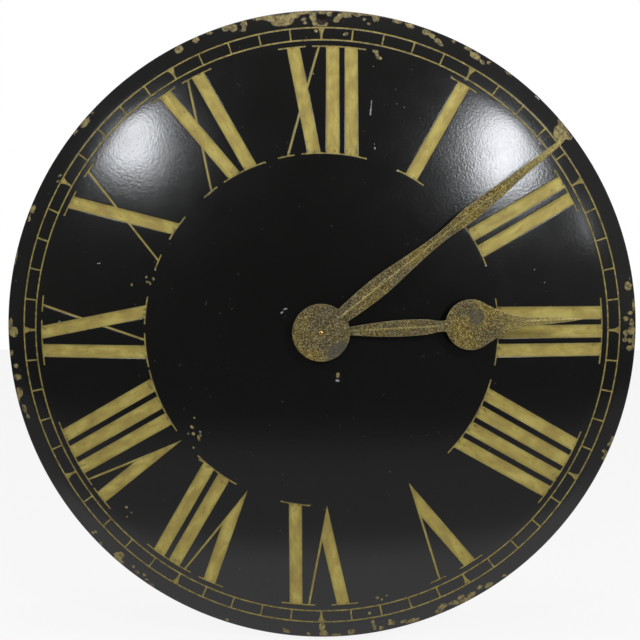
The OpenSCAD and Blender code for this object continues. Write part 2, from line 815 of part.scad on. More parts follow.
module third_wheel() color(gear_white) movement_frame()
    wheel_on_arbor(third_at, 3, third_z, train_m, gap_towards(seconds_dir, third_z),
        2, train_pinion_z, centre_m, third_dir + 180);

module centre_wheel() color(gear_white) movement_frame() difference() {
    union() {
        slab(layer(2), layer(2) + wheel_t) wheel_gear(centre_z, centre_m, gap_towards(third_dir, centre_z));
        slab(layer(2) - hub_front, layer(2) + wheel_t + hub_back) circle(centre_hub_r, $fn = round_fn);
    }
    slab(layer(2) - cut, layer(3)) circle(pivot_r + run_gap, $fn = round_fn);
}

module clutch_spring() color(brass) movement_frame()
    slab(layer(1) + wheel_t + pinion_over + clutch_seat, layer(2) - hub_front - clutch_gap)
        ring(clutch_out_r, pivot_r + press_gap);

module minute_arbor() color(brass) movement_frame() {
    shoulder = layer(1) - pinion_over;
    tip = case_z - minute_top;
    ball_r = (minute_r * minute_r + tip_dome * tip_dome) / (2 * tip_dome);
    intersection() {
        slab(tip, tip + tip_end) circle(minute_r, $fn = round_fn);
        translate([0, 0, -tip - ball_r]) sphere(ball_r, $fn = round_fn);
    }
    slab(tip + tip_end, shoulder) circle(minute_r, $fn = round_fn);
    slab(shoulder, layer(1) + wheel_t + pinion_over) pinion_gear(cannon_z, motion_m, motion_dir);
    slab(shoulder, arbor_back) circle(pivot_r, $fn = round_fn);
}

module motion_wheel() color(gear_white) movement_frame()
    wheel_on_arbor(motion_at, 1, motion_z, motion_m, motion_phase,
        0, motion_pinion_z, hour_m, motion_dir + 180);

module setting_knob() color(case_grey) movement_frame() translate(set_at) {
    knob_at = case_d + knob_gap;
    slab(arbor_front, knob_at + eps) circle(pivot_r, $fn = round_fn);
    slab(layer(1) - pinion_over, layer(1) + wheel_t + pinion_over)
        pinion_gear(set_z, motion_m, meshed(set_dir, motion_phase, motion_z, set_z));
    slab(knob_at, knob_at + knob_h) difference() {
        circle(knob_d / 2, $fn = round_fn);
        for (i = [0:knob_grooves - 1]) rotate(360 / knob_grooves * i)
            translate([knob_d / 2 + groove_out, 0]) circle(groove_r, $fn = groove_fn);
    }
}

module hour_wheel() color(gear_white) movement_frame() difference() {
    union() {
        slab(layer(0), layer(0) + wheel_t)
            wheel_gear(hour_z, hour_m, gap_towards(motion_dir, hour_z));
        slab(case_z - hour_tube_top, layer(0) + eps) circle(hour_tube_r, $fn = round_fn);
    }
    slab(case_z - hour_tube_top - cut, layer(1)) circle(minute_r + run_gap, $fn = round_fn);
}

// Collet with its flange under a hand and its neck through the hand's hole
module collet(hand_z, r_out, r_in) {
    h = collet_flange + hand_t;
    translate([0, 0, hand_z - collet_flange]) difference() {
        union() {
            cylinder(r = r_out, h = collet_flange, $fn = round_fn);
            cylinder(r = r_out - collet_neck, h = h, $fn = round_fn);
        }
        translate([0, 0, -cut]) cylinder(r = r_in, h = h + 2 * cut, $fn = round_fn);
    }
}

module hour_collet() color(brass) dial_frame()
    collet(hour_hand_z, hour_collet_r, hour_tube_r + press_gap);

module minute_collet() color(brass) dial_frame()
    collet(minute_hand_z, minute_collet_r, minute_r + press_gap);

// A hand's outline from its half widths
module lobe(stations) {
    edge = curve(stations);
    last = len(edge) - 1;
    polygon(concat([for (p = edge) [p[1], p[0]]], [for (i = [last:-1:0]) [-edge[i][1], edge[i][0]]]));
}

module rib(from, to) {
    translate([-rib_w / 2, from, 0]) cube([rib_w, to - from, hand_t + rib_h]);
}

// Hole of a hand round the neck of its collet
module collet_hole(r_out) {
    translate([0, 0, -cut])
        cylinder(r = r_out - collet_neck + press_gap, h = hand_t + rib_h + 2 * cut, $fn = round_fn);
}

module hour_hand() color(bronze) dial_frame() translate([0, 0, hour_hand_z]) rotate(-hour_angle)
    difference() {
        union() {
            linear_extrude(hand_t) {
                circle(hour_hub_r, $fn = round_fn);
                lobe(hour_stem);
                translate([0, hour_disc_at]) circle(hour_disc_r, $fn = round_fn);
                lobe(hour_tail);
            }
            rib(hour_hub_r - rib_past, hour_disc_at - hour_disc_r + rib_past);
        }
        collet_hole(hour_collet_r);
    }

module minute_hand() color(bronze) dial_frame() translate([0, 0, minute_hand_z]) rotate(-minute_angle)
    difference() {
        union() {
            linear_extrude(hand_t) {
                circle(minute_disc_r, $fn = round_fn);
                lobe(minute_stations);
            }
            rib(minute_disc_r - 3 * rib_past, rib_share * minute_l);
        }
        collet_hole(minute_collet_r);
    }

dial_shell();
numeral_inlay();
track_inlay();
rubber_washer();
dial_washer();
dial_nut();
threaded_bush();
front_housing();
gear_bridge();
rear_cover();
circuit_board();
controller_chip();
quartz_crystal();
stator();
coil_core();
coil_bobbin();
coil_winding();
negative_contact();
positive_contact();
aa_cell();
rotor();
intermediate_wheel();
seconds_wheel();
third_wheel();
centre_wheel();
clutch_spring();
minute_arbor();
motion_wheel();
setting_knob();
hour_wheel();
hour_collet();
hour_hand();
minute_collet();
minute_hand();
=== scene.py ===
import math
from dataclasses import dataclass

import bpy
import numpy as np
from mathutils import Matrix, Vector
from mathutils.geometry import delaunay_2d_cdt


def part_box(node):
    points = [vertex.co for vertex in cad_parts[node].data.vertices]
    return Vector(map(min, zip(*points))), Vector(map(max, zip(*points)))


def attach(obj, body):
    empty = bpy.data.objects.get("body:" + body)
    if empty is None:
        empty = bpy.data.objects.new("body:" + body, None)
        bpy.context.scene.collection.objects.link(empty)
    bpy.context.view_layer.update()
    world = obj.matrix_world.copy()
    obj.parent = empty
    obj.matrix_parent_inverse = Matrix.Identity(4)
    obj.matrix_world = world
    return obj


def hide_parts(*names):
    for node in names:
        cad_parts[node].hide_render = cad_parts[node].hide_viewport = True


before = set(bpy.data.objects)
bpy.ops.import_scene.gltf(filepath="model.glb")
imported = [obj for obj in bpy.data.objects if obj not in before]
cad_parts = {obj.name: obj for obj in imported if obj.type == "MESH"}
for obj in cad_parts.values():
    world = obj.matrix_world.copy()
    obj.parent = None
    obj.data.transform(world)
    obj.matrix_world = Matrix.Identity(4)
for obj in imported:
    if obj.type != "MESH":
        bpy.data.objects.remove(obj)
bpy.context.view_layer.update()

MM = 0.001
BODY = "clock_body"

# Places read from the frame
shell_low, shell_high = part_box("dial_shell")
DIAL_R = (shell_high[0] - shell_low[0]) / 2 / MM
WALL_Y = shell_high[1]
CENTRE_Z = (shell_high[2] + shell_low[2]) / 2

# Dial pressing, in millimetres as in the part
SHEET = 0.9
HEM_R = 1.6
HEM_FLAT = 0.15
HEM_END = -225.0
BACK_EDGE = 267.27
RIM_BAND = 13.5
TRACK_BAND = 15.0
DOME_SLOPE = math.radians(12)
TRACK_SLOPE = math.radians(15.5)
RIM_SLOPE = math.radians(19)
HOLE_R = 4.5
HOLE_AT = 260.8
BUSH_HOLE_R = 4.3
HOLES = ((HOLE_AT, HOLE_R), (0.0, BUSH_HOLE_R))
DOME_SHOULDER = 8.0
TRACK_SHOULDER = 4.0
NUMERAL_DEPTH = 0.55
TRACK_DEPTH = 0.35
NUMERAL_BEVEL = 0.5
TRACK_BEVEL = 0.4

# Numerals and track
NUMERAL_OUT = 238.5
NUMERAL_H = 92.0
NUMERAL_IN = NUMERAL_OUT - NUMERAL_H
BAR_W = 11.1
PITCH = 15.5
HAIR_W = 1.9
SERIF_T = 1.3
SERIF_OUT = 7.0
SERIF_IN = 5.0
TRACK_OUT = 254.3
TRACK_IN = 243.4
LINE_W = 1.4
FLARE_FOOT = 0.9
FLARE_GROW = 2.9

# Heights of the profile above the wall
HEM_AT = DIAL_R - HEM_R
HEM_Z = HEM_R - HEM_FLAT
HEM_TOP_R = HEM_AT + HEM_R * math.sin(RIM_SLOPE)
HEM_TOP_Z = HEM_Z + HEM_R * math.cos(RIM_SLOPE)
TRACK_EDGE = DIAL_R - RIM_BAND
DOME_EDGE = TRACK_EDGE - TRACK_BAND
TRACK_EDGE_Z = HEM_TOP_Z + (HEM_TOP_R - TRACK_EDGE) * math.tan(RIM_SLOPE)
DOME_EDGE_Z = TRACK_EDGE_Z + TRACK_BAND * math.tan(TRACK_SLOPE)
DOME_R = DOME_EDGE / math.sin(DOME_SLOPE)
DOME_C = DOME_EDGE_Z - DOME_R * math.cos(DOME_SLOPE)

# Margins, the depth of points in no worn place, and the shift of brush marks between numerals
SLACK = 0.02
MERGE = 1e-4
TINY = 1e-9
UNWORN = -3.0
HOUR_SHIFT = 17.0

# How finely the dial is divided
RIM_STEPS = 480
HOLE_STEPS = 64
BORE_STEPS = 40
HEM_STEPS = 22
FIRST_RING = 8.0
CELL = 4.0
BAND_STEP = 2.0
RIM_STEP = 1.3
RIM_CELL = 1.6
FEWEST_STEPS = 24
MARK_RINGS = (0.6, 1.0, 1.7)
MARK_STEPS = 8


def height(r):
    """Height of the dial's surface above the wall at radius r, with its two bends rounded."""
    r = np.asarray(r, dtype=float)
    dome = DOME_C + np.sqrt(np.maximum(DOME_R**2 - r**2, 0))
    band = DOME_EDGE_Z - (r - DOME_EDGE) * math.tan(TRACK_SLOPE)
    rim = TRACK_EDGE_Z - (r - TRACK_EDGE) * math.tan(RIM_SLOPE)
    h = np.where(r <= DOME_EDGE, dome, np.where(r <= TRACK_EDGE, band, rim))
    bends = (
        (DOME_EDGE, DOME_SLOPE, TRACK_SLOPE, DOME_SHOULDER),
        (TRACK_EDGE, TRACK_SLOPE, RIM_SLOPE, TRACK_SHOULDER),
    )
    for at, before, after, reach in bends:
        near = np.maximum(reach - np.abs(r - at), 0)
        h = h - (math.tan(after) - math.tan(before)) * near**2 / (4 * reach)
    return h


def fall(r, step=0.05):
    """How steeply the surface falls towards the edge at radius r."""
    return (height(r - step) - height(r + step)) / (2 * step)


def to_row(x, y, h, base=WALL_Y):
    """Places on the dial and heights above its base, in millimetres, as row coordinates in metres."""
    x, y, h = np.broadcast_arrays(x, y, h)
    return np.stack([x * MM, base - h * MM, CENTRE_Z + y * MM], axis=-1)


def turn(x, y, degrees):
    """Places turned clockwise about the dial's middle."""
    a = np.radians(degrees)
    return x * np.cos(a) + y * np.sin(a), y * np.cos(a) - x * np.sin(a)


def turned(points, degrees):
    return [turn(x, y, degrees) for x, y in points]


# Outlines of the numerals


def bars(count, mid):
    return [("I", mid + i - (count - 1) / 2) for i in range(count)]


# Twelve first: each letter's middle and the lean of its two strokes, in pitches of the thick strokes
NUMERALS = [
    [("X", -0.95, 1.16, 1.68)] + bars(2, 1.11),
    bars(1, 0.03),
    bars(2, 0.05),
    bars(3, 0.03),
    bars(4, -0.01),
    [("V", 0, 0.68, 1.245)],
    [("V", -0.31, 0.93, 1.01)] + bars(1, 1.4),
    [("V", -0.865, 0.75, 0.79)] + bars(2, 1.115),
    [("V", -1.34, 0.61, 0.62)] + bars(3, 1.025),
    bars(1, -1.12) + [("X", 0.465, 1.19, 1.885)],
    [("X", 0.045, 1.665, 2.28)],
    [("X", -0.4, 1.12, 1.865)] + bars(1, 1.11),
]


def span(at, width):
    return (at * PITCH - width / 2, at * PITCH + width / 2)


def strokes(letter):
    """A letter's strokes: middles of the outer and of the inner end, in pitches, and width."""
    kind, at = letter[:2]
    if kind == "I":
        return [(at, at, BAR_W)]
    thick, thin = letter[2:]
    if kind == "V":
        return [(at - thick, at, BAR_W), (at + thin, at, HAIR_W)]
    return [(at - thick / 2, at + thick / 2, BAR_W), (at + thin / 2, at - thin / 2, HAIR_W)]


def serif_spans(ends):
    """Serifs over a row of stroke ends: ends that are close together share one."""
    groups = []
    for low, high in ends:
        if groups and low - groups[-1][1] <= SERIF_OUT + SERIF_IN:
            groups[-1][1] = high
        else:
            groups.append([low, high])
    last = len(groups) - 1
    return [
        (low - (SERIF_OUT if i == 0 else SERIF_IN), high + (SERIF_OUT if i == last else SERIF_IN))
        for i, (low, high) in enumerate(groups)
    ]


def on_circle(x, r):
    return (x, math.sqrt(r * r - x * x))


def stroke(out, inner, width, grow):
    """A straight stroke between the middles of the two serif lines."""
    top, low = NUMERAL_OUT - SERIF_T / 2, NUMERAL_IN + SERIF_T / 2
    corners = []
    for y, side in ((top, -1), (top, 1), (low, 1), (low, -1)):
        x = inner + (out - inner) * (y - NUMERAL_IN) / NUMERAL_H
        corners.append(on_circle(x + side * (width / 2 + grow), y))
    return corners


def vee(point, left, right, grow):
    """The letter V: its thick stroke on the left and its thin stroke on the right end in a point."""
    top = NUMERAL_OUT - SERIF_T / 2
    rise = top - NUMERAL_IN
    run_l = (left + BAR_W / 2) / NUMERAL_H
    run_r = (right + HAIR_W / 2) / NUMERAL_H
    meet = (BAR_W + HAIR_W + 2 * grow) / (run_l + run_r)
    return [
        (point, NUMERAL_IN - 2 * grow),
        on_circle(point + run_r * rise + grow, top),
        on_circle(point + run_r * rise - HAIR_W - grow, top),
        (point + BAR_W + grow - run_l * meet, NUMERAL_IN + meet),
        on_circle(point + BAR_W + grow - run_l * rise, top),
        on_circle(point - run_l * rise - grow, top),
    ]


def serif(low, high, r_out, grow, steps=9):
    xs = [low - grow + (high - low + 2 * grow) * i / steps for i in range(steps + 1)]
    top = [on_circle(x, r_out + grow) for x in xs]
    return top + [on_circle(x, r_out - SERIF_T - grow) for x in reversed(xs)]


def numeral_shapes(letters, grow):
    """Strokes and serifs of one numeral as closed outlines, grown on every side."""
    shapes, outer, inner = [], [], []
    for letter in letters:
        lines = strokes(letter)
        outer += [span(out, width) for out, _, width in lines]
        if letter[0] == "V":
            shapes.append(vee(*(size * PITCH for size in letter[1:]), grow))
            continue
        shapes += [stroke(out * PITCH, end * PITCH, width, grow) for out, end, width in lines]
        inner += sorted(span(end, width) for _, end, width in lines)
    shapes += [serif(low, high, NUMERAL_OUT, grow) for low, high in serif_spans(outer)]
    return shapes + [serif(low, high, NUMERAL_IN + SERIF_T, grow) for low, high in serif_spans(inner)]


def all_numeral_shapes(grow):
    return [
        turned(shape, 30 * hour)
        for hour, letters in enumerate(NUMERALS)
        for shape in numeral_shapes(letters, grow)
    ]


def flare(t):
    """Half width of a five-minute mark, from its foot at 0 to its head at 1."""
    return FLARE_FOOT + FLARE_GROW * t**3


def mark(five, grow, steps=6):
    """A minute mark between the two circles, flared at the five-minute places."""
    low, high = TRACK_IN - LINE_W / 2 - grow, TRACK_OUT + LINE_W / 2 + grow
    half = LINE_W / 2 + grow
    side = [(half, low), (half, high)]
    if five:
        rise = (TRACK_OUT - TRACK_IN) / steps
        curve = [(flare(i / steps) + grow, TRACK_IN + rise * i) for i in range(steps + 1)]
        side = [(curve[0][0], low), *curve, (curve[-1][0], high)]
    return side + [(-x, y) for x, y in reversed(side)]


def ring_points(r, count, shift=0.0):
    """Points of a circle, clockwise from the top."""
    return [turn(0, r, 360 * (i + shift) / count) for i in range(count)]


def inside(shape, px, py):
    """Which of the points lie inside a closed outline."""
    hit = np.zeros(len(px), dtype=bool)
    xs, ys = np.array(shape).T
    box = (px >= xs.min()) & (px <= xs.max()) & (py >= ys.min()) & (py <= ys.max())
    if not box.any():
        return hit
    qx, qy = px[box], py[box]
    odd = np.zeros(len(qx), dtype=bool)
    for i in range(len(xs)):
        x0, y0, x1, y1 = xs[i - 1], ys[i - 1], xs[i], ys[i]
        if y0 == y1:
            continue
        cross = (y0 > qy) != (y1 > qy)
        odd ^= cross & (qx < (x1 - x0) * (qy - y0) / (y1 - y0) + x0)
    hit[box] = odd
    return hit


def in_numerals(px, py, grow):
    hit = np.zeros(len(px), dtype=bool)
    for shape in all_numeral_shapes(grow):
        hit |= inside(shape, px, py)
    return hit


def in_track(px, py, grow):
    """Which of the points lie in the two circles, the minute marks or the five-minute marks."""
    r = np.hypot(px, py)
    angle = np.degrees(np.arctan2(px, py))

    def across(pitch):
        """How far each point lies from the nearest of the rays that stand a pitch apart."""
        return np.abs(np.radians((angle + pitch / 2) % pitch - pitch / 2) * r)

    t = np.clip((r - TRACK_IN) / (TRACK_OUT - TRACK_IN), 0, 1)
    marks = across(6) <= LINE_W / 2 + grow
    marks |= across(30) <= flare(t) + grow
    circles = np.minimum(np.abs(r - TRACK_IN), np.abs(r - TRACK_OUT)) <= LINE_W / 2 + grow
    return circles | (marks & (r > TRACK_IN) & (r < TRACK_OUT))


def segment_distance(px, py, x0, y0, x1, y1):
    """How far each point lies from a straight segment."""
    dx, dy = x1 - x0, y1 - y0
    t = np.clip(((px - x0) * dx + (py - y0) * dy) / max(dx * dx + dy * dy, TINY), 0, 1)
    return np.hypot(px - x0 - t * dx, py - y0 - t * dy)


def from_wall(px, py):
    """How far each point lies from the nearest wall of the stroke that holds it."""
    far = np.zeros(len(px))
    for shape in all_numeral_shapes(-NUMERAL_BEVEL):
        hit = inside(shape, px, py)
        near = np.full(int(hit.sum()), np.inf)
        for i, corner in enumerate(shape):
            near = np.minimum(near, segment_distance(px[hit], py[hit], *shape[i - 1], *corner))
        far[hit] = np.maximum(far[hit], near)
    return far


def split_long(points, longest):
    """A closed outline with its long edges divided."""
    out = []
    for i, (x1, y1) in enumerate(points):
        x0, y0 = points[i - 1]
        count = max(1, math.ceil(math.hypot(x1 - x0, y1 - y0) / longest))
        out += [(x0 + (x1 - x0) * k / count, y0 + (y1 - y0) * k / count) for k in range(count)]
    return out


# Worn places near the edge: clock angle, radius, half length along the edge, half width
RIM_WEAR = [
    (-26.9, 266, 4, 3.4), (-23.4, 267.4, 3.2, 2.6), (-20.6, 268.2, 2.4, 1.4), (-17.6, 267, 3.2, 2.6),
    (-16.3, 265.8, 3.4, 3.6), (-14.2, 266.4, 2.9, 3.8), (-14.5, 261.2, 1.9, 1.7), (-11.2, 268.4, 5, 1.7),
    (-9.3, 266.6, 4.6, 2.8), (-7.1, 263.2, 10, 5.6), (-4.9, 266.4, 4.4, 2.8), (-3, 268.3, 9, 1.5),
    (-3.3, 262, 1.9, 1.5), (-3, 258.6, 1.7, 1.3), (-1.5, 264, 3, 4.6), (-0.9, 258.2, 4, 3.4),
    (0.4, 257, 4.6, 2), (0.2, 268.2, 5, 1.6), (1.4, 266.8, 2.2, 2.4), (2.8, 261.4, 2.5, 2.7),
    (3.4, 265.4, 2.2, 2.6), (4.6, 266.4, 4, 2.6), (6.5, 267.4, 2.7, 1.9), (7.8, 264.2, 1.7, 1.4),
    (8.8, 260.6, 1.4, 1.2), (9.9, 266.2, 2.7, 2.2), (7, 269, 17, 1), (13.9, 268.2, 4.6, 1.8),
    (16.2, 267.4, 3.6, 2.2), (19.4, 266.2, 3.8, 2.5), (20.6, 264.9, 2.6, 2.4), (21.9, 262.6, 2.8, 2.5),
    (22.8, 260.8, 1.7, 1.3), (24.6, 268, 2.3, 1.3), (27.6, 268, 3.6, 1.7), (29.2, 265.6, 5, 3.2),
    (31, 263.6, 2.3, 1.7), (32, 266.6, 1.8, 1.7), (36.2, 268.4, 3.2, 1.2), (48.9, 268.3, 3.4, 1.6),
    (50.2, 266.2, 5, 4), (50.5, 262, 6.8, 5), (50.7, 258.4, 5.8, 3.6), (52.2, 266.6, 2.4, 2.8),
    (80.6, 267.2, 1.2, 1), (81.9, 264.6, 3.8, 3.3), (82, 268, 1.2, 1.6), (85.6, 268.2, 5, 1.2),
    (86.9, 264.6, 1.6, 2.4), (87.9, 260.2, 1.8, 2.6), (88.6, 265.8, 3.4, 2.2), (90.2, 265.8, 3.6, 3.6),
    (90.6, 260.6, 2.4, 3), (91.9, 259.4, 1.8, 2.6), (92, 264.4, 2.4, 1.7), (93.4, 264.2, 2.2, 2.7),
    (92.4, 268.2, 5.4, 1.3), (110.6, 268.2, 2.6, 1.5), (111.8, 267.4, 1.6, 1.5), (113.3, 266.4, 1.8, 2.6),
    (114.4, 268, 2.2, 1.6), (143.4, 267.4, 2.2, 1.5), (146.8, 266.4, 4, 2.4), (148.4, 263.4, 3.2, 1.8),
    (150.4, 265.4, 4.4, 2), (152.4, 262.6, 3.4, 2.2), (152.2, 267.4, 8, 1.8), (154.4, 264.6, 4.4, 1.8),
    (156.4, 263.6, 4.2, 2.6), (157.4, 266.8, 3.4, 2.4), (162.6, 266.8, 6.6, 2), (164.4, 264.8, 2.4, 1.8),
    (166.5, 263.6, 3, 2.4), (166.8, 260.6, 1.6, 1.6), (168.6, 266.2, 2.2, 2.2), (169.9, 264.6, 1.5, 5.2),
    (170.1, 258.8, 1.3, 3.2), (174.3, 265.8, 3.2, 2.8), (177.2, 268.2, 6, 1.4), (179.6, 265.6, 3.6, 3.8),
    (179.9, 258.8, 2.8, 5), (182.4, 267, 1.8, 1.8), (186.5, 265.8, 2.8, 1.9), (187, 263.8, 1.5, 1.2),
    (198, 267, 1.6, 1.4), (213.4, 268, 2, 1.5), (214.9, 267.2, 1.7, 1.5), (215.8, 264, 1.7, 1.4),
    (217.1, 266.2, 1.9, 1.7), (218.4, 263.8, 1.7, 1.6), (220.8, 267.6, 3.6, 1.8),
    (221.9, 265.2, 4.2, 3.6), (221.6, 261.2, 3, 1.6), (225.9, 268, 2.4, 1.3), (228.1, 263.6, 1.4, 1.5),
    (228.3, 266.6, 1.5, 1.3), (253.5, 264, 2.2, 1.6), (255.2, 265.6, 3.4, 2.3), (257.2, 268.2, 3.6, 1.5),
    (258.3, 266, 4.2, 3.2), (261.1, 265, 2.8, 3.6), (263.2, 265, 2.2, 2.3), (265.7, 268, 2.6, 1.9),
    (269.6, 264.8, 4.8, 4.6), (271.2, 267.4, 4.2, 2.2), (283.2, 268.8, 5, 0.9), (290.8, 267.4, 2.3, 2),
    (292.7, 267.2, 3.9, 2.6), (299.4, 256.6, 1.8, 1.6), (300.6, 257.4, 1.6, 1.6),
    (308.8, 268.2, 3.2, 1.4), (311.2, 267, 5, 2.8), (313.4, 268.2, 2.4, 1.3),
]
# Small gold chips on the face: two ends and half width
CHIPS = [
    (-145.4, 45.1, -145.4, 45.1, 1.1), (-139.4, 43.9, -139.2, 43.3, 1.2), (-145, 41.2, -144, 41, 0.9),
    (-142.6, 40.6, -141.8, 39.4, 0.8), (-157.8, 39.2, -157.8, 38.4, 0.9), (-105.9, -72, -105.9, -72, 1),
    (-108.6, -79.6, -107.4, -80.6, 1.2), (-111.2, -85.7, -111.2, -85.7, 0.9),
    (-107.2, -85.4, -106.6, -86, 1.3), (-107, -97.6, -107, -97.6, 1.1), (-102.6, -88, -102, -91, 1.1),
    (-101, -85.8, -100.6, -87.6, 0.8), (-102.3, -107.9, -96.4, -111.2, 0.7),
    (-167.1, -151.8, -166.7, -151.8, 1.2), (-162.4, -156.5, -162.4, -156.5, 0.9),
    (-166.6, -160.3, -166.6, -160.3, 0.9), (48, -230.6, 48.6, -230.8, 1.4),
    (51.9, -233.1, 52.3, -232.6, 1), (56.4, -229, 56.4, -229, 0.8), (41.7, -245.6, 42, -246, 1.3),
    (13.8, -34.8, 13.6, -36.4, 1.5), (43.8, 233.6, 46.6, 233, 1.3), (45.8, 232.4, 46.8, 229.6, 1.4),
    (47.2, 228, 49.4, 227.2, 1.4), (-4.7, 251.6, -4.3, 251, 1.4), (19.4, 248, 21.4, 248.8, 1.3),
    (-6.6, 214.2, -6.6, 213.6, 0.6), (187, 159.9, 191.6, 163.4, 0.18),
]
# Pale nicks and scratches
NICKS = [
    (-30.4, 18.6, -28.4, 19.2, 0.8), (-32.8, 15.6, -31.8, 16.4, 0.8), (12.6, -40, 14.4, -40.2, 1),
    (41.6, 191, 41, 181.6, 0.5), (40.9, 184, 40.7, 179, 0.7), (44.2, 151.4, 44.2, 150.6, 0.8),
    (43.8, 155, 43.8, 154, 0.4), (62.7, 188.5, 62.7, 188.5, 0.5), (68.9, 185.6, 68.9, 185.6, 0.6),
    (177.9, 51.4, 177.9, 51.4, 0.6), (186.6, 40.5, 186.6, 40.5, 0.6), (-221.9, 7.5, -221.2, 7.2, 0.8),
    (182.6, 157.8, 183.6, 157, 0.7), (43.4, 220.3, 43.4, 220.3, 0.5), (-187.6, 56.4, -185.4, 56.6, 0.5),
    (-101.4, -83.6, -100.8, -84, 0.7), (181.4, 198, 184.2, 195.4, 0.8), (22.6, -203.8, 22.8, -204, 0.3),
    (120, 210.2, 121.2, 209.6, 0.4),
]


def worn_depth(x, y):
    """How far inside the nearest worn place each point lies, in millimetres, for the three lists."""
    angle, r = np.degrees(np.arctan2(x, y)), np.hypot(x, y)
    rim = np.full(len(x), UNWORN)
    for at, middle, along, across in RIM_WEAR:
        off = np.radians((angle - at + 180) % 360 - 180) * middle
        inner = (1 - np.hypot(off / along, (r - middle) / across)) * min(along, across)
        rim = np.maximum(rim, inner)

    def capsules(marks):
        depth = np.full(len(x), UNWORN)
        for *ends, half in marks:
            depth = np.maximum(depth, half - segment_distance(x, y, *ends))
        return depth

    return np.stack([rim, capsules(CHIPS), capsules(NICKS)], axis=1)


# Meshes


class Plan:
    """A flat layout: points, and closed outlines that its triangles have to follow."""

    def __init__(self):
        self.points, self.edges = [], []

    def closed(self, outline):
        first, count = len(self.points), len(outline)
        self.points.extend(outline)
        self.edges.extend((first + i, first + (i + 1) % count) for i in range(count))

    def triangles(self):
        """Points and triangles, which turn anticlockwise as the viewer sees them."""
        found = delaunay_2d_cdt([Vector(p) for p in self.points], self.edges, [], 0, MERGE)
        points = np.array([tuple(v) for v in found[0]])
        tris = np.array([tuple(f) for f in found[2] if len(f) == 3])
        first, one, two = points[tris[:, 0]], points[tris[:, 1]], points[tris[:, 2]]
        (ax, ay), (bx, by) = (one - first).T, (two - first).T
        clockwise = ax * by - bx * ay < 0
        return points, np.where(clockwise[:, None], tris[:, ::-1], tris)


def new_object(name, verts, faces):
    mesh = bpy.data.meshes.new(name)
    mesh.from_pydata([tuple(v) for v in verts], [], [tuple(f) for f in faces])
    mesh.update()
    obj = bpy.data.objects.new(name, mesh)
    bpy.context.scene.collection.objects.link(obj)
    return obj


def attribute(obj, name, values):
    """Keeps three numbers at every vertex for the materials."""
    layer = obj.data.attributes.new(name, "FLOAT_VECTOR", "POINT")
    layer.data.foreach_set("vector", np.asarray(values, dtype=float).ravel())


class Shell:
    """Vertices with their normals and marks, and faces, gathered for one object."""

    def __init__(self):
        self.verts, self.norms, self.marks, self.faces = [], [], [], []

    def add(self, verts, norms, marks=(0, 0, 0)):
        """Adds vertices and gives their numbers. One normal or mark may stand for them all."""
        first = len(self.verts)
        self.verts.extend(verts)
        self.norms.extend(np.broadcast_to(norms, (len(verts), 3)))
        self.marks.extend(np.broadcast_to(marks, (len(verts), 3)))
        return range(first, len(self.verts))

    def strip(self, near, far):
        """Joins two closed loops of vertices."""
        for i in range(len(near)):
            j = (i + 1) % len(near)
            self.faces.append((near[i], near[j], far[j], far[i]))

    def build(self, name, marks=None):
        """The object, with only the vertices that its faces use."""
        used = np.unique([i for face in self.faces for i in face])
        lookup = np.zeros(len(self.verts), dtype=int)
        lookup[used] = np.arange(len(used))
        faces = [lookup[list(face)].tolist() for face in self.faces]
        obj = new_object(name, np.array(self.verts)[used], faces)
        obj.data.polygons.foreach_set("use_smooth", [True] * len(faces))
        obj.data.normals_split_custom_set_from_vertices(np.array(self.norms)[used].tolist())
        obj.data.update()
        if marks:
            attribute(obj, marks, np.array(self.marks)[used])
        return obj


# Dial


def hole_outline(at, r):
    return [(x, y + at) for x, y in ring_points(r, HOLE_STEPS)]


def filler_rings():
    """Rings of points that fill the dial between its grooves, closer together on its bands."""
    points = []
    r, row = FIRST_RING, 0
    while r < HEM_TOP_R - RIM_CELL / 2:
        on_rim = r >= TRACK_EDGE
        count = max(FEWEST_STEPS, int(2 * math.pi * r / (RIM_CELL if on_rim else CELL)))
        points += ring_points(r, count, 0.5 * (row % 2))
        on_dome = r < DOME_EDGE - DOME_SHOULDER
        r, row = r + (CELL if on_dome else RIM_STEP if on_rim else BAND_STEP), row + 1
    return points


def around_marks():
    """Points round every chip and nick, so that each has vertices to hold its depth."""
    points = []
    for x0, y0, x1, y1, half in CHIPS + NICKS:
        for t in (0, 0.5, 1) if (x0, y0) != (x1, y1) else (0,):
            x, y = x0 + (x1 - x0) * t, y0 + (y1 - y0) * t
            points.append((x, y))
            for size in MARK_RINGS:
                points += [(x + px, y + py) for px, py in ring_points(half * size, MARK_STEPS)]
    return points


def dial_plan():
    """The flat layout of the dial, whose edges follow every groove."""
    plan = Plan()
    plan.closed(ring_points(HEM_TOP_R, RIM_STEPS))
    plan.closed(ring_points(BACK_EDGE, RIM_STEPS))
    for at, hole_r in HOLES:
        plan.closed(hole_outline(at, hole_r))
    for grow in (NUMERAL_BEVEL, 0, -NUMERAL_BEVEL):
        for shape in all_numeral_shapes(grow):
            plan.closed(split_long(shape, CELL))
    for grow in (TRACK_BEVEL, 0, -TRACK_BEVEL):
        for circle in (TRACK_IN, TRACK_OUT):
            for side in (1, -1):
                plan.closed(ring_points(circle + side * (LINE_W / 2 + grow), RIM_STEPS))
        for minute in range(60):
            plan.closed(turned(mark(minute % 5 == 0, grow), 6 * minute))
    plan.points += filler_rings() + around_marks()
    return plan.triangles()


def pressed_depth(x, y):
    """How deep the press pushed each point, and which points lie halfway down a wall."""
    depth, halfway = np.zeros(len(x)), np.zeros(len(x), dtype=bool)
    for test, full, bevel in (
        (in_numerals, NUMERAL_DEPTH, NUMERAL_BEVEL),
        (in_track, TRACK_DEPTH, TRACK_BEVEL),
    ):
        pressed, floor = test(x, y, SLACK), test(x, y, SLACK - bevel)
        depth[pressed] = full / 2
        depth[floor] = full
        halfway |= pressed & ~floor
    return depth, halfway


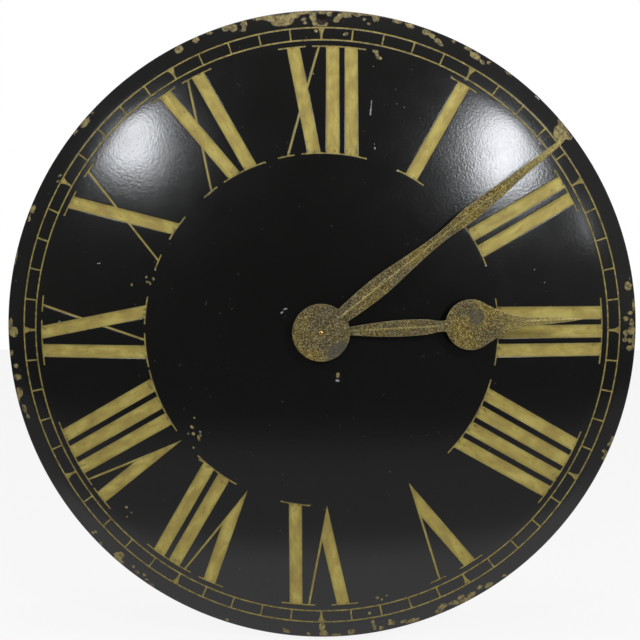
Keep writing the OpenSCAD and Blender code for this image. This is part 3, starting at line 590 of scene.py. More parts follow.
def own_normals(verts, tris):
    """The normals that Blender works out for the vertices of a mesh."""
    probe = bpy.data.meshes.new("probe")
    probe.from_pydata([tuple(v) for v in verts], [], [tuple(t) for t in tris])
    probe.update()
    normals = np.zeros(len(verts) * 3)
    probe.vertex_normals.foreach_get("vector", normals)
    bpy.data.meshes.remove(probe)
    return normals.reshape(-1, 3)


def nearest(plan, points):
    """The numbers of the plan's points at the given places."""
    return [int(((plan - point) ** 2).sum(axis=1).argmin()) for point in np.array(points)]


def roll_edge(shell, rim, back_rim):
    """The rolled edge, which turns from the rim in front round to the back of the sheet."""
    start = 90 - math.degrees(RIM_SLOPE)
    x, y = np.array(ring_points(1.0, RIM_STEPS)).T
    for k in range(1, HEM_STEPS + 1):
        a = math.radians(start + (HEM_END - start) * k / HEM_STEPS)
        r, h = HEM_AT + HEM_R * math.cos(a), max(HEM_Z + HEM_R * math.sin(a), 0.0)
        facing = np.stack([x * math.cos(a), np.full(RIM_STEPS, -math.sin(a)), y * math.cos(a)], axis=1)
        row = shell.add(to_row(x * r, y * r, h), facing)
        shell.strip(rim, row)
        rim = row
    shell.strip(rim, back_rim)


def dial_places(obj):
    """Where the vertices of an object lie on the dial, in millimetres."""
    shape = np.array([v.co for v in obj.data.vertices])
    return shape[:, 0] / MM, (shape[:, 2] - CENTRE_Z) / MM


def gilded(name, front, normals, tris):
    """A gilded fill that knows its place in its numeral and how far it lies from its walls."""
    shell = Shell()
    shell.add(front, normals)
    shell.faces = tris.tolist()
    obj = shell.build(name)
    x, y = dial_places(obj)
    hour = np.round(np.degrees(np.arctan2(x, y)) / 30)
    attribute(obj, "bar", np.stack([*turn(x, y, -30 * hour), hour * HOUR_SHIFT], axis=1))
    deep = in_numerals(x, y, SLACK - NUMERAL_BEVEL) | in_track(x, y, SLACK - TRACK_BEVEL)
    attribute(obj, "depth", np.stack([deep, from_wall(x, y), np.zeros(len(x))], axis=1))
    return obj


def build_dial():
    """The pressed dial with its grooves, and the two gilded fills, from one plan."""
    plan, tris = dial_plan()
    x, y = plan.T
    depth, halfway = pressed_depth(x, y)
    r = np.maximum(np.hypot(x, y), SLACK)
    tilt = fall(r)
    slant = np.hypot(1, tilt)
    surface = height(r) - depth
    front, back = to_row(x, y, surface), to_row(x, y, surface - SHEET * slant)
    normals = np.stack([tilt * x / r, -np.ones(len(x)), tilt * y / r], axis=1) / slant[:, None]
    normals = np.where(halfway[:, None], own_normals(front, tris), normals)

    middle = plan[tris].mean(axis=1)
    number, track = in_numerals(*middle.T, 0), in_track(*middle.T, 0)
    gold_numbers = gilded("numeral_gilding", front, normals, tris[number])
    gold_track = gilded("track_gilding", front, normals, tris[track])
    solid = np.ones(len(tris), dtype=bool)
    for at, hole_r in HOLES:
        solid &= np.hypot(*(middle - (0, at)).T) > hole_r
    behind = tris[solid & (np.hypot(*middle.T) < BACK_EDGE)][:, ::-1] + len(plan)

    shell = Shell()
    shell.add(front, normals)
    shell.add(back, -normals)
    shell.faces = tris[solid & ~number & ~track].tolist()
    first = len(shell.faces)
    shell.faces += behind.tolist()
    for at, hole_r in HOLES:
        loop = nearest(plan, hole_outline(at, hole_r))
        inward = (0, at) - plan[loop]
        inward /= np.linalg.norm(inward, axis=1)[:, None]
        facing = np.insert(inward, 1, 0, axis=1)
        shell.strip(shell.add(front[loop], facing), shell.add(back[loop], facing))
    rim = nearest(plan, ring_points(HEM_TOP_R, RIM_STEPS))
    back_rim = nearest(plan, ring_points(BACK_EDGE, RIM_STEPS))
    roll_edge(shell, rim, [i + len(plan) for i in back_rim])
    enamel = shell.build("dial_enamel")
    attribute(enamel, "worn", worn_depth(*dial_places(enamel)))
    slots = np.zeros(len(shell.faces), dtype=int)
    slots[first:first + len(behind)] = 1
    enamel.data.polygons.foreach_set("material_index", slots)
    return enamel, gold_numbers, gold_track


# Materials


def rgba(colour):
    """Four numbers from a colour or from a grey level."""
    return (*colour, 1) if isinstance(colour, tuple) else (colour, colour, colour, 1)


class Tree:
    """Short names for joining the nodes of a material or a world."""

    def __init__(self, owner):
        owner.use_nodes = True
        self.tree = owner.node_tree

    def add(self, kind, **values):
        node = self.tree.nodes.new("ShaderNode" + kind)
        for key, value in values.items():
            setattr(node, key, value)
        return node

    def feed(self, socket, value):
        """Sets a socket to a number, colour or vector, or joins another node's output to it."""
        if isinstance(value, (int, float, tuple)):
            socket.default_value = rgba(value) if socket.type == "RGBA" else value
        else:
            self.tree.links.new(value, socket)

    def fill(self, node, **inputs):
        for key, value in inputs.items():
            self.feed(node.inputs[key.replace("_", " ")], value)
        return node

    def through(self, node, *values):
        """Feeds a node's sockets in their order and gives its first output."""
        for socket, value in zip(node.inputs, values):
            self.feed(socket, value)
        return node.outputs[0]

    def ramp(self, source, *stops, stepped=False):
        node = self.add("ValToRGB")
        band = node.color_ramp
        if stepped:
            band.interpolation = "CONSTANT"
        while len(band.elements) < len(stops):
            band.elements.new(0.5)
        for element, (at, colour) in zip(band.elements, stops):
            element.position = at
            element.color = rgba(colour)
        return self.fill(node, Fac=source).outputs["Color"]

    def math(self, operation, *values, clamp=False):
        return self.through(self.add("Math", operation=operation, use_clamp=clamp), *values)

    def plus(self, a, b):
        return self.math("ADD", a, b)

    def times(self, a, b, clamp=False):
        return self.math("MULTIPLY", a, b, clamp=clamp)

    def scaled(self, source, by, more, clamp=False):
        return self.math("MULTIPLY_ADD", source, by, more, clamp=clamp)

    def parts(self, source):
        return self.fill(self.add("SeparateXYZ"), Vector=source).outputs

    def ray(self, kind):
        """1 for rays of one kind, such as the camera's, and 0 for others."""
        return self.add("LightPath").outputs[f"Is {kind} Ray"]

    def mix_shader(self, share, a, b):
        return self.through(self.add("MixShader"), share, a, b)


class Nodes(Tree):
    """A material with its main shader."""

    def __init__(self, name):
        self.material = bpy.data.materials.new(name)
        super().__init__(self.material)
        self.shader = self.tree.nodes["Principled BSDF"]
        self.place = self.add("TexCoord").outputs["Object"]

    def put(self, **values):
        self.fill(self.shader, **values)

    def show(self, output):
        """Shows this shader instead of the main one."""
        self.fill(self.tree.nodes["Material Output"], Surface=output)

    def noise(self, scale, detail=4.0, rough=0.55, distort=0.0, at=None):
        node = self.fill(
            self.add("TexNoise"),
            Scale=scale, Detail=detail, Roughness=rough, Distortion=distort, Vector=at or self.place,
        )
        return node.outputs["Fac"]

    def drawn(self, *scale, detail=3, rough=0.6, distort=0.0, at=None):
        """Noise with a scale of its own along each axis."""
        stretched = self.through(self.add("VectorMath", operation="MULTIPLY"), at or self.place, scale)
        return self.noise(1.0, detail, rough, distort, stretched)

    def cells(self, scale, output):
        """One cell pattern: its distances or its colours."""
        return self.fill(self.add("TexVoronoi"), Scale=scale, Vector=self.place).outputs[output]

    def mix(self, share, a, b, blend="MIX"):
        node = self.add("Mix", data_type="RGBA", blend_type=blend)
        for socket, value in ((node.inputs[0], share), (node.inputs[6], a), (node.inputs[7], b)):
            self.feed(socket, value)
        return node.outputs[2]

    def bump(self, source, strength, distance):
        node = self.fill(self.add("Bump"), Strength=strength, Distance=distance, Height=source)
        self.put(Normal=node.outputs["Normal"])

    def vector(self, name):
        """The three numbers kept at every vertex."""
        return self.add("Attribute", attribute_name=name).outputs["Vector"]


GOLD = (0.44, 0.345, 0.074)
GOLD_MID = (0.49, 0.39, 0.088)
GOLD_LIGHT = (0.62, 0.52, 0.15)
GOLD_DARK = (0.27, 0.185, 0.042)
GOLD_BROWN = (0.28, 0.19, 0.052)
GOLD_WARM = (0.33, 0.225, 0.060)
DARK_BROWN = (0.05, 0.04, 0.018)
END_DARK_REACH = 9.0
WALL_SHADE = (0.07, 0.052, 0.018)
FLOOR_BEND = 2.2
BLACK = (0.0049, 0.0049, 0.0044)
DUST = (0.03, 0.03, 0.032)
NICK = (0.28, 0.29, 0.29)
BARE_EDGE = (0.13, 0.095, 0.045)
PEEL = (520, 520, 480)
PEEL_HEIGHT = 0.00006
WIRE_PITCH = 0.00022
THREAD_PITCH = 0.00075


def enamel_material():
    """Black gloss enamel with worn gold places, small chips and pale nicks."""
    n = Nodes("black_enamel")
    rim, chip, nick = n.parts(n.vector("worn"))
    ragged = n.scaled(n.noise(560, 4, 0.72), 3.4, -1.75)
    broad = n.scaled(n.noise(190, 2, 0.5), 1.6, -0.6)
    fine = n.scaled(n.noise(900, 2, 0.5), 1.0, -0.5)
    rim_depth = n.plus(n.plus(rim, ragged), broad)
    chip_depth = n.plus(n.scaled(chip, 1.4, fine), 0.1)
    depth = n.math("MAXIMUM", rim_depth, chip_depth)
    mask = n.times(depth, 5.0, clamp=True)
    nick_mask = n.times(n.plus(nick, fine), 3.0, clamp=True)
    tint = n.ramp(
        n.noise(330, 5, 0.75),
        (0.40, DARK_BROWN),
        (0.47, (0.19, 0.14, 0.045)),
        (0.55, (0.31, 0.25, 0.080)),
        (0.66, (0.42, 0.34, 0.105)),
    )
    gold = n.mix(n.times(depth, 1.3, clamp=True), BARE_EDGE, tint)
    dust = n.ramp(n.noise(300, 1, 0.3), (0.775, BLACK), (0.80, DUST))
    n.put(Base_Color=n.mix(mask, n.mix(nick_mask, dust, NICK), gold))
    smear = n.scaled(n.noise(30, 4, 0.6, 0.4), 0.12, 0.125)
    n.put(Roughness=n.scaled(n.math("MAXIMUM", mask, nick_mask), 0.35, smear), IOR=1.5)
    peel = n.drawn(*PEEL, detail=1.5, rough=0.5, distort=0.3)
    n.bump(n.math("SUBTRACT", peel, n.times(mask, 0.6)), 1.0, PEEL_HEIGHT)
    return n.material


def dial_back_material():
    """The dull painted back of the sheet."""
    n = Nodes("dial_back")
    n.put(Base_Color=n.ramp(n.noise(60, 6, 0.65), (0.3, 0.012), (0.75, (0.028, 0.027, 0.026))))
    n.put(Roughness=n.scaled(n.noise(25, 4), 0.25, 0.40))
    n.bump(n.noise(700, 3), 0.35, 0.00005)
    return n.material


def gilding_material():
    """Gold paint brushed along the strokes, browner in places, darker in blotches near both ends of each
    stroke, with painted shade along the groove walls.
    """
    n = Nodes("gilding")
    bar = n.vector("bar")
    streak = n.drawn(0.60, 0.07, 1.0, distort=0.2, at=bar)
    grain = n.drawn(1.3, 0.9, 1.0, rough=0.7, at=bar)
    mixed = n.plus(n.times(streak, 0.45), n.times(grain, 0.55))
    gold = n.ramp(mixed, (0.30, GOLD_DARK), (0.43, GOLD), (0.54, GOLD_MID), (0.68, GOLD_LIGHT))
    tone = n.drawn(0.11, 0.045, 1.0, detail=2, distort=0.3, at=bar)
    toned = n.mix(0.48, gold, n.ramp(tone, (0.36, GOLD_LIGHT), (0.49, GOLD), (0.64, GOLD_BROWN)))
    blot = n.drawn(0.13, 0.10, 1.0, at=bar)
    warm = n.mix(n.ramp(blot, (0.52, 0.0), (0.72, 0.6)), toned, GOLD_WARM)
    # Darker in blotches near both ends of each stroke.
    end_dark = n.scaled(near_stroke_ends(n, bar), 0.14, n.drawn(0.30, 0.22, 1.0, at=bar))
    end_darkened = n.mix(n.ramp(end_dark, (0.62, 0.0), (0.74, 0.6)), warm, DARK_BROWN)
    walls, inward, _ = n.parts(n.vector("depth"))
    floor = n.math("DIVIDE", inward, FLOOR_BEND, clamp=True)
    # Painted shade: darker on the groove walls and within FLOOR_BEND of them; the track lines, which hold
    # no distance from their walls, come out darker all along.
    lip = n.scaled(walls, 0.42, n.scaled(floor, 0.24, 0.34))
    n.put(Base_Color=n.mix(lip, WALL_SHADE, end_darkened))
    n.put(Roughness=n.scaled(streak, 0.25, 0.45), Metallic=0.15)
    n.bump(n.scaled(floor, -3.0, mixed), 0.6, 0.00015)
    return n.material


def near_stroke_ends(n, bar):
    """1 at both ends of a stroke, 0 from END_DARK_REACH inwards."""
    middle = NUMERAL_IN + NUMERAL_H / 2
    past_middle = n.math("ABSOLUTE", n.math("SUBTRACT", n.parts(bar)[1], middle))
    from_end = n.math("SUBTRACT", NUMERAL_H / 2, past_middle)
    return n.math("SUBTRACT", 1.0, n.math("DIVIDE", from_end, END_DARK_REACH), clamp=True)


def hand_material():
    """Antique bronze: a coarse metallic fleck, with a painted highlight on the ridges and over the outer
    part of each hand, lighter along the edges, and a grey patch on each disc.
    """
    n = Nodes("hand_bronze")
    ridge, edge, bare = n.parts(n.vector("highlight_edge_patch"))
    lightness, hue, _ = n.parts(n.cells(1900, "Color"))
    grain = n.scaled(n.noise(1100, 2, 0.6), 0.5, n.scaled(lightness, 0.8, -0.15))
    fleck = n.ramp(
        grain,
        (0.15, (0.062, 0.046, 0.015)),
        (0.35, (0.094, 0.073, 0.027)),
        (0.52, (0.145, 0.118, 0.050)),
        (0.68, (0.25, 0.212, 0.105)),
        (0.86, (0.60, 0.54, 0.35)),
    )
    hues = n.ramp(hue, (0.0, (1.10, 0.90, 0.80)), (0.45, (0.98, 1.0, 0.92)), (1.0, (0.92, 1.02, 1.12)))
    tone = n.ramp(
        n.noise(30, 3, 0.6),
        (0.38, (0.76, 0.73, 0.74)),
        (0.49, (0.94, 0.88, 0.78)),
        (0.60, (1.30, 1.16, 0.68)),
    )
    shaded = n.mix(1.0, n.mix(1.0, fleck, hues, "MULTIPLY"), tone, "MULTIPLY")
    # Painted highlight: a lighter colour on the ridges and over the outer part of the hand.
    lit = n.mix(n.times(ridge, n.scaled(grain, 1.5, -0.12, clamp=True)), shaded, (0.50, 0.41, 0.14))
    # Lighter along the edges.
    edge_lightened = n.mix(n.times(edge, 0.42), lit, (0.36, 0.31, 0.155))
    # Grey patch on each disc: painted shade on the minute hand, a grey tone on the hour hand.
    patch = n.times(n.plus(bare, n.scaled(n.noise(500, 3), 1.6, -0.8)), 1.2, clamp=True)
    n.put(Base_Color=n.mix(n.times(patch, 0.65), edge_lightened, (0.095, 0.090, 0.080)))
    n.put(Roughness=n.scaled(grain, -0.35, 0.62), Metallic=0.45, IOR=1.35)
    n.bump(grain, 0.6, 0.00018)
    return n.material


def plastic_material(name, dark, light, rough, grain=1400):
    """Moulded plastic with a fine grain and slight sheen differences."""
    n = Nodes(name)
    n.put(Base_Color=n.ramp(n.noise(55, 5, 0.6), (0.3, dark), (0.7, light)))
    n.put(Roughness=n.scaled(n.noise(90, 3), 0.18, rough - 0.09))
    n.bump(n.noise(grain, 3, 0.6), 0.35, 0.00004)
    return n.material


def metal_material(name, dark, light, rough):
    """Worked metal with fine drawn lines and a little tarnish."""
    n = Nodes(name)
    scratches = n.drawn(300, 2600, 300, rough=0.7)
    tarnish = n.noise(140, 5, 0.6)
    dull = tuple(c * 0.45 for c in dark)
    clean = n.ramp(scratches, (0.35, dark), (0.65, light))
    n.put(Base_Color=n.mix(n.ramp(tarnish, (0.56, 0.0), (0.76, 0.6)), clean, dull))
    n.put(Roughness=n.scaled(tarnish, 0.22, rough - 0.08), Metallic=1.0)
    n.bump(scratches, 0.25, 0.00002)
    return n.material


def banded(n, axis, pitch):
    """A wave that repeats along one axis of the object, in metres."""
    along = n.times(n.parts(n.place)[axis], 2 * math.pi / pitch)
    return n.scaled(n.math("SINE", along), 0.5, 0.5)


def thread_material():
    """Brass with a screw thread round it, with painted shade in the thread's grooves."""
    n = Nodes("brass_thread")
    wave = banded(n, 1, THREAD_PITCH)
    # Painted shade: darker in the thread's grooves, lighter on its crests.
    tone = n.scaled(n.noise(500), 0.3, n.times(wave, 0.7))
    brass = n.ramp(tone, (0.2, (0.36, 0.23, 0.07)), (0.7, (0.72, 0.50, 0.17)))
    n.put(Base_Color=brass, Roughness=0.30, Metallic=1.0)
    n.bump(wave, 1.0, THREAD_PITCH * 0.45)
    return n.material


def winding_material():
    """Enamelled copper wire wound turn beside turn, with painted shade between the turns."""
    n = Nodes("copper_winding")
    wave = banded(n, 0, WIRE_PITCH)
    tone = n.scaled(n.noise(900), 0.35, n.times(wave, 0.65))
    # Painted shade: darker between the turns, lighter on the wire's tops.
    copper = n.ramp(tone, (0.2, (0.16, 0.045, 0.015)), (0.75, (0.56, 0.21, 0.08)))
    n.put(Base_Color=copper, Roughness=0.32, Metallic=0.85)
    n.bump(wave, 0.8, 0.00008)
    return n.material


def board_material():
    """Solder resist over copper tracks, with pale round pads."""
    n = Nodes("circuit_board")
    upright = n.fill(n.add("Mapping"), Vector=n.place, Rotation=(math.pi / 2, 0, 0))
    tracks = n.fill(
        n.add("TexBrick", offset=0.35),
        Scale=260, Mortar_Size=0.03, Vector=upright.outputs[0],
        Color1=(0.008, 0.075, 0.030), Color2=(0.010, 0.100, 0.038), Mortar=(0.03, 0.20, 0.07),
    )
    pad = n.ramp(n.cells(330, "Distance"), (0.14, 1.0), (0.17, 0.0))
    n.put(Base_Color=n.mix(pad, tracks.outputs["Color"], (0.62, 0.60, 0.55)))
    n.put(Metallic=n.times(pad, 0.9), Roughness=n.scaled(n.noise(200), 0.2, 0.28))
    n.bump(n.plus(pad, n.noise(600)), 0.3, 0.00005)
    return n.material


def cell_material():
    """A printed sleeve with one wide band, between bare metal ends."""
    n = Nodes("cell_wrap")
    low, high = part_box("aa_cell")
    at = n.math("DIVIDE", n.math("SUBTRACT", n.parts(n.place)[0], low[0]), high[0] - low[0])
    steel, sleeve, band = (0.50, 0.50, 0.48), (0.010, 0.016, 0.030), (0.42, 0.13, 0.035)
    wrap = n.ramp(at, (0.0, steel), (0.022, sleeve), (0.66, band), (0.952, steel), stepped=True)
    n.put(Base_Color=n.mix(n.times(n.noise(220, 5), 0.12), wrap, (0.25, 0.25, 0.25)))
    bare = n.ramp(at, (0.0, 1.0), (0.022, 0.0), (0.66, 0.5), (0.952, 1.0), stepped=True)
    n.put(Metallic=bare, Roughness=n.scaled(n.noise(300, 4), 0.2, 0.22))
    n.bump(n.noise(500, 3), 0.2, 0.00003)
    return n.material


# Hands


HAND_T = 0.8
EDGE_R = 0.45
EDGE_LIGHT_REACH = 0.9
RIB_H = 0.45
RIB_HALF = 1.35
RIB_SHARE = 0.55
RIB_START = 4.0
RIB_END = 14.0
RIB_LEAST = 0.22
DITCH_DEPTH = 0.10
DITCH_AT = 1.7
DITCH_W = 0.6
STEEPEST = 1.2
HIGHLIGHT_PEAK = 1.15
HAND_GRID = 2.5
HAND_REACH = 25.0
HAND_STEP = 1.6
RIB_STEP = 1.2
DISC_STEPS = 120
DISC_TURN = 3.75
CLOSEST = 0.05
EDGE_MARGIN = 0.1
RIB_MARGIN = 0.3
GRID_MARGIN = 1.5
EDGE_INSETS = (0.12, 0.28, 0.5, 0.95)
RIB_PLACES = (-2.4, -1.7, -1, -0.66, -0.33, 0, 0.33, 0.66, 1, 1.7, 2.4)
MINUTE_AT = 51.4
HOUR_AT = 87.0


def blend_between(stations, s):
    """A smooth half width through the stations."""
    at = np.array([p[0] for p in stations])
    width = np.array([p[1] for p in stations])
    slope = np.gradient(width, at)
    i = np.clip(np.searchsorted(at, s) - 1, 0, len(at) - 2)
    gap = at[i + 1] - at[i]
    t = np.clip((s - at[i]) / gap, 0, 1)
    value = (
        (2 * t**3 - 3 * t**2 + 1) * width[i]
        + (t**3 - 2 * t**2 + t) * gap * slope[i]
        + (3 * t**2 - 2 * t**3) * width[i + 1]
        + (t**3 - t**2) * gap * slope[i + 1]
    )
    return np.where((s < at[0]) | (s > at[-1]), 0, np.maximum(value, 0))


@dataclass
class Hand:
    """The outline and relief of one hand: s runs along it from the arbor, c across it."""

    discs: list
    lobes: list
    hole: float
    ribs: list
    # Across, along and radius of a grey patch on the disc.
    bare: tuple
    polished: tuple

    def half(self, s):
        wide = np.zeros_like(s)
        for at, r in self.discs:
            wide = np.maximum(wide, np.sqrt(np.maximum(r * r - (s - at) ** 2, 0)))
        for lobe in self.lobes:
            wide = np.maximum(wide, blend_between(lobe, s))
        return wide

    def edge_distance(self, s, c):
        inner = self.half(s) - np.abs(c)
        for at, r in self.discs:
            inner = np.maximum(inner, r - np.hypot(s - at, c))
        return inner

    def rib_reach(self, s):
        """Half width of the rib."""
        return np.clip(RIB_SHARE * self.half(s), RIB_LEAST, RIB_HALF)

    def relief(self, s, c):
        """Height of the front above the hand's flat back, and the share of ridge and edge."""
        d = self.edge_distance(s, c)
        sunk = np.maximum(EDGE_R - np.clip(d, 0, EDGE_R), 0)
        top = HAND_T - EDGE_R + np.sqrt(np.maximum(EDGE_R**2 - sunk**2, 0))
        window = np.zeros_like(s)
        for start, end in self.ribs:
            rise, sink = (s - start) / RIB_START, (end - s) / RIB_END
            window = window + np.clip(rise, 0, 1) * np.clip(sink, 0, 1)
        reach = self.rib_reach(s)
        bell = np.cos(np.clip(c / reach, -1, 1) * math.pi / 2) ** 2 * window
        ditch = np.exp(-(((np.abs(c) / reach - DITCH_AT) / DITCH_W) ** 2)) * window
        return top + RIB_H * bell - DITCH_DEPTH * ditch, bell, np.clip(1 - d / EDGE_LIGHT_REACH, 0, 1)

    def slopes(self, s, c, step=0.02):
        """How steeply the front rises across and along the hand."""
        across = self.relief(s, c + step)[0] - self.relief(s, c - step)[0]
        along = self.relief(s + step, c)[0] - self.relief(s - step, c)[0]
        return [np.clip(rise / (2 * step), -STEEPEST, STEEPEST) for rise in (across, along)]


MINUTE = Hand(
    discs=[(0, 23.4)],
    lobes=[[
        (18, 6), (40, 7.6), (56, 8.1), (72, 7.5), (89, 6), (105, 4.75), (118, 4.25), (128, 4.3),
        (137, 4.9), (153, 6.25), (165, 5.8), (185, 4.7), (205, 3.3), (232, 2.4), (246, 1.4), (251, 0.3),
    ]],
    hole=2.84,
    ribs=[(17.4, 226)],
    # Grey patch on the disc: painted shade.
    bare=(26, 1.5, 12.5),
    polished=(188, 236),
)
HOUR = Hand(
    discs=[(0, 10), (122, 20.6)],
    lobes=[
        [(8, 2.6), (24, 3.6), (44, 5.6), (66, 6.7), (86, 6.1), (101, 4.6), (104, 5.4)],
        [(134, 16.75), (143, 11.7), (153, 7.4), (164, 4.5), (186, 2.7), (203, 1.5), (213, 0.3)],
    ],
    hole=3.44,
    ribs=[(8, 103), (162, 210)],
    # Grey patch on the disc: a grey tone of the finish.
    bare=(-6.3, 127.2, 6.6),
    polished=(140, 172),
)


def places_along(hand, low, high):
    """Closely spaced places along a hand, closer where an end of a disc is near."""
    turns = np.radians(np.arange(0, 180 + DISC_TURN, DISC_TURN))
    discs = [at - r * np.cos(turns) for at, r in hand.discs]
    kept = [low]
    for s in np.sort(np.concatenate([np.arange(low, high, HAND_STEP), *discs])):
        if low < s < high and s - kept[-1] > CLOSEST:
            kept.append(s)
    return np.array(kept + [high])


def hand_plan(hand):
    """The outline of a hand, and its flat layout with points wherever its relief bends."""
    low, high = -hand.discs[0][1], hand.lobes[-1][-1][0]
    along = places_along(hand, low, high)
    wide = hand.half(along)
    right = [(w, s) for s, w in zip(along[::-1], wide[::-1]) if w > SLACK / 2]
    outline = [(-w, s) for s, w in zip(along, wide)] + right
    plan = Plan()
    plan.closed(outline)
    plan.closed(ring_points(hand.hole, BORE_STEPS))

    def add(c, s, wanted):
        plan.points += np.stack(np.broadcast_arrays(c, s), axis=-1)[wanted].tolist()

    for inset in EDGE_INSETS:
        for side in (1, -1):
            add(side * (wide - inset), along, wide > inset + EDGE_MARGIN)
        for at, r in hand.discs:
            c, s = np.array(ring_points(r - inset, DISC_STEPS)).T
            add(c, s + at, hand.edge_distance(s + at, c) < inset + SLACK)
    ribs = np.concatenate([np.arange(start, end, RIB_STEP) for start, end in hand.ribs])
    for k in RIB_PLACES:
        c = k * hand.rib_reach(ribs)
        add(c, ribs, np.abs(c) < hand.half(ribs) - RIB_MARGIN)
    rows = np.arange(low, high, HAND_GRID)
    for c in np.arange(-HAND_REACH, HAND_REACH + HAND_GRID, HAND_GRID):
        add(c, rows, np.abs(c) < hand.half(rows) - GRID_MARGIN)
    points, tris = plan.triangles()
    c, s = points[tris].mean(axis=1).T
    return outline, points, tris[(hand.edge_distance(s, c) > 0) & (np.hypot(c, s) > hand.hole)]


def build_hand(name, hand, degrees, base):
    """A hand cut from sheet with rounded edges and a pressed ridge."""
    outline, plan, tris = hand_plan(hand)
    c, s = plan.T
    top, bell, edge = hand.relief(s, c)
    across, along = hand.slopes(s, c)
    x, y = turn(-across, -along, degrees)
    facing = np.stack([x, -np.ones(len(x)), y], axis=1)
    facing /= np.linalg.norm(facing, axis=1)[:, None]
    # Painted highlight share: the ridge, and a rise towards the outer part of the hand.
    start, end = hand.polished
    painted_highlight = np.maximum(bell, HIGHLIGHT_PEAK * np.clip((s - start) / (end - start), 0, 1))
    # Grey patch: painted shade on the minute hand's disc, a grey tone on the hour hand's disc.
    bare_c, bare_s, bare_r = hand.bare
    bare = bare_r - np.hypot(c - bare_c, s - bare_s)

    shell = Shell()
    shell.add(to_row(*turn(c, s, degrees), top, base), facing, np.stack([painted_highlight, edge, bare], axis=1))
    shell.add(to_row(*turn(c, s, degrees), 0, base), (0, 1, 0), (0, 0, UNWORN))
    shell.faces = tris.tolist() + (tris[:, ::-1] + len(plan)).tolist()
    for ring, side in ((outline, 1), (ring_points(hand.hole, BORE_STEPS), -1)):
        c, s = np.array(ring).T
        ahead_c, ahead_s = (np.roll(p, -1) - np.roll(p, 1) for p in (c, s))
        size = np.maximum(np.hypot(ahead_c, ahead_s), TINY) * side
        x, y = turn(-ahead_s / size, ahead_c / size, degrees)
        facing = np.stack([x, np.zeros(len(x)), y], axis=1)
        loops = [
            shell.add(to_row(*turn(c, s, degrees), h, base), facing, (0, 1, UNWORN))
            for h in (hand.relief(s, c)[0], 0)
        ]
        shell.strip(*loops[::side])
    return shell.build(name, "highlight_edge_patch")


# Dressing


def paint(obj, material):
    obj.data.materials.append(material)


# Each finish: its pieces, dark and light colour, roughness, and the grain of rubber
METALS = {
    "brass": (
        "dial_washer dial_nut clutch_spring hour_collet minute_collet",
        (0.52, 0.33, 0.09), (0.74, 0.52, 0.18), 0.28,
    ),
    "arbor_brass": ("minute_arbor", (0.60, 0.40, 0.12), (0.80, 0.58, 0.22), 0.16),
    "steel": (
        "quartz_crystal stator coil_core negative_contact positive_contact",
        (0.40, 0.40, 0.39), (0.62, 0.62, 0.60), 0.30,
    ),
    "magnet": ("rotor", (0.10, 0.10, 0.11), (0.22, 0.22, 0.23), 0.42),
}
PLASTICS = {
    "black_plastic": (
        "front_housing gear_bridge rear_cover", (0.016, 0.016, 0.017), (0.030, 0.030, 0.031), 0.42,
    ),
    "rubber": ("rubber_washer", (0.012, 0.012, 0.012), (0.026, 0.025, 0.024), 0.80, 900),
    "nylon_wheel": (
        "intermediate_wheel seconds_wheel centre_wheel hour_wheel",
        (0.60, 0.57, 0.48), (0.76, 0.73, 0.64), 0.40,
    ),
    "amber_wheel": ("third_wheel motion_wheel", (0.46, 0.25, 0.09), (0.62, 0.38, 0.16), 0.38),
    "knob_plastic": ("setting_knob", (0.30, 0.30, 0.29), (0.38, 0.38, 0.37), 0.45),
    "chip_resin": ("controller_chip", (0.008, 0.008, 0.009), (0.020, 0.020, 0.021), 0.35),
    "bobbin_plastic": ("coil_bobbin", (0.50, 0.46, 0.36), (0.62, 0.58, 0.47), 0.45),
}


def dress_dial():
    enamel, gold_numbers, gold_track = build_dial()
    paint(enamel, enamel_material())
    paint(enamel, dial_back_material())
    gold = gilding_material()
    paint(gold_numbers, gold)
    paint(gold_track, gold)
    for piece, node, slot in (
        (enamel, "dial_shell", "enamel"),
        (gold_numbers, "numeral_inlay", "gilding"),
        (gold_track, "track_inlay", "gilding"),
    ):
        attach(piece, BODY)
        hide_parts(node)


def dress_hands():
    bronze = hand_material()
    for name, hand, degrees, node, body in (
        ("minute_hand_bronze", MINUTE, MINUTE_AT, "minute_hand", "minute_set"),
        ("hour_hand_bronze", HOUR, HOUR_AT, "hour_hand", "hour_set"),
    ):
        piece = build_hand(name, hand, degrees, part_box(node)[1][1])
        paint(piece, bronze)
        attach(piece, body)
        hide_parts(node)


def dress_movement():
    """Gives every piece of the movement and the hub its material."""
    finishes = [
        (thread_material(), "threaded_bush"),
        (board_material(), "circuit_board"),
        (winding_material(), "coil_winding"),
        (cell_material(), "aa_cell"),
    ]
    finishes += [(metal_material(name, *look), nodes) for name, (nodes, *look) in METALS.items()]
    finishes += [(plastic_material(name, *look), nodes) for name, (nodes, *look) in PLASTICS.items()]
    for material, nodes in finishes:
        for name in nodes.split():
            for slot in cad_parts[name].material_slots:
                slot.material = material


# Stage: floor, wall, world, camera and lamps


FLOOR_GAP = 0.004
FLOOR_Z = CENTRE_Z - DIAL_R * MM - FLOOR_GAP
FLOOR_HALF = 3.0
FLOOR_TONE = 0.85
FLOOR_GLOW = 0.88
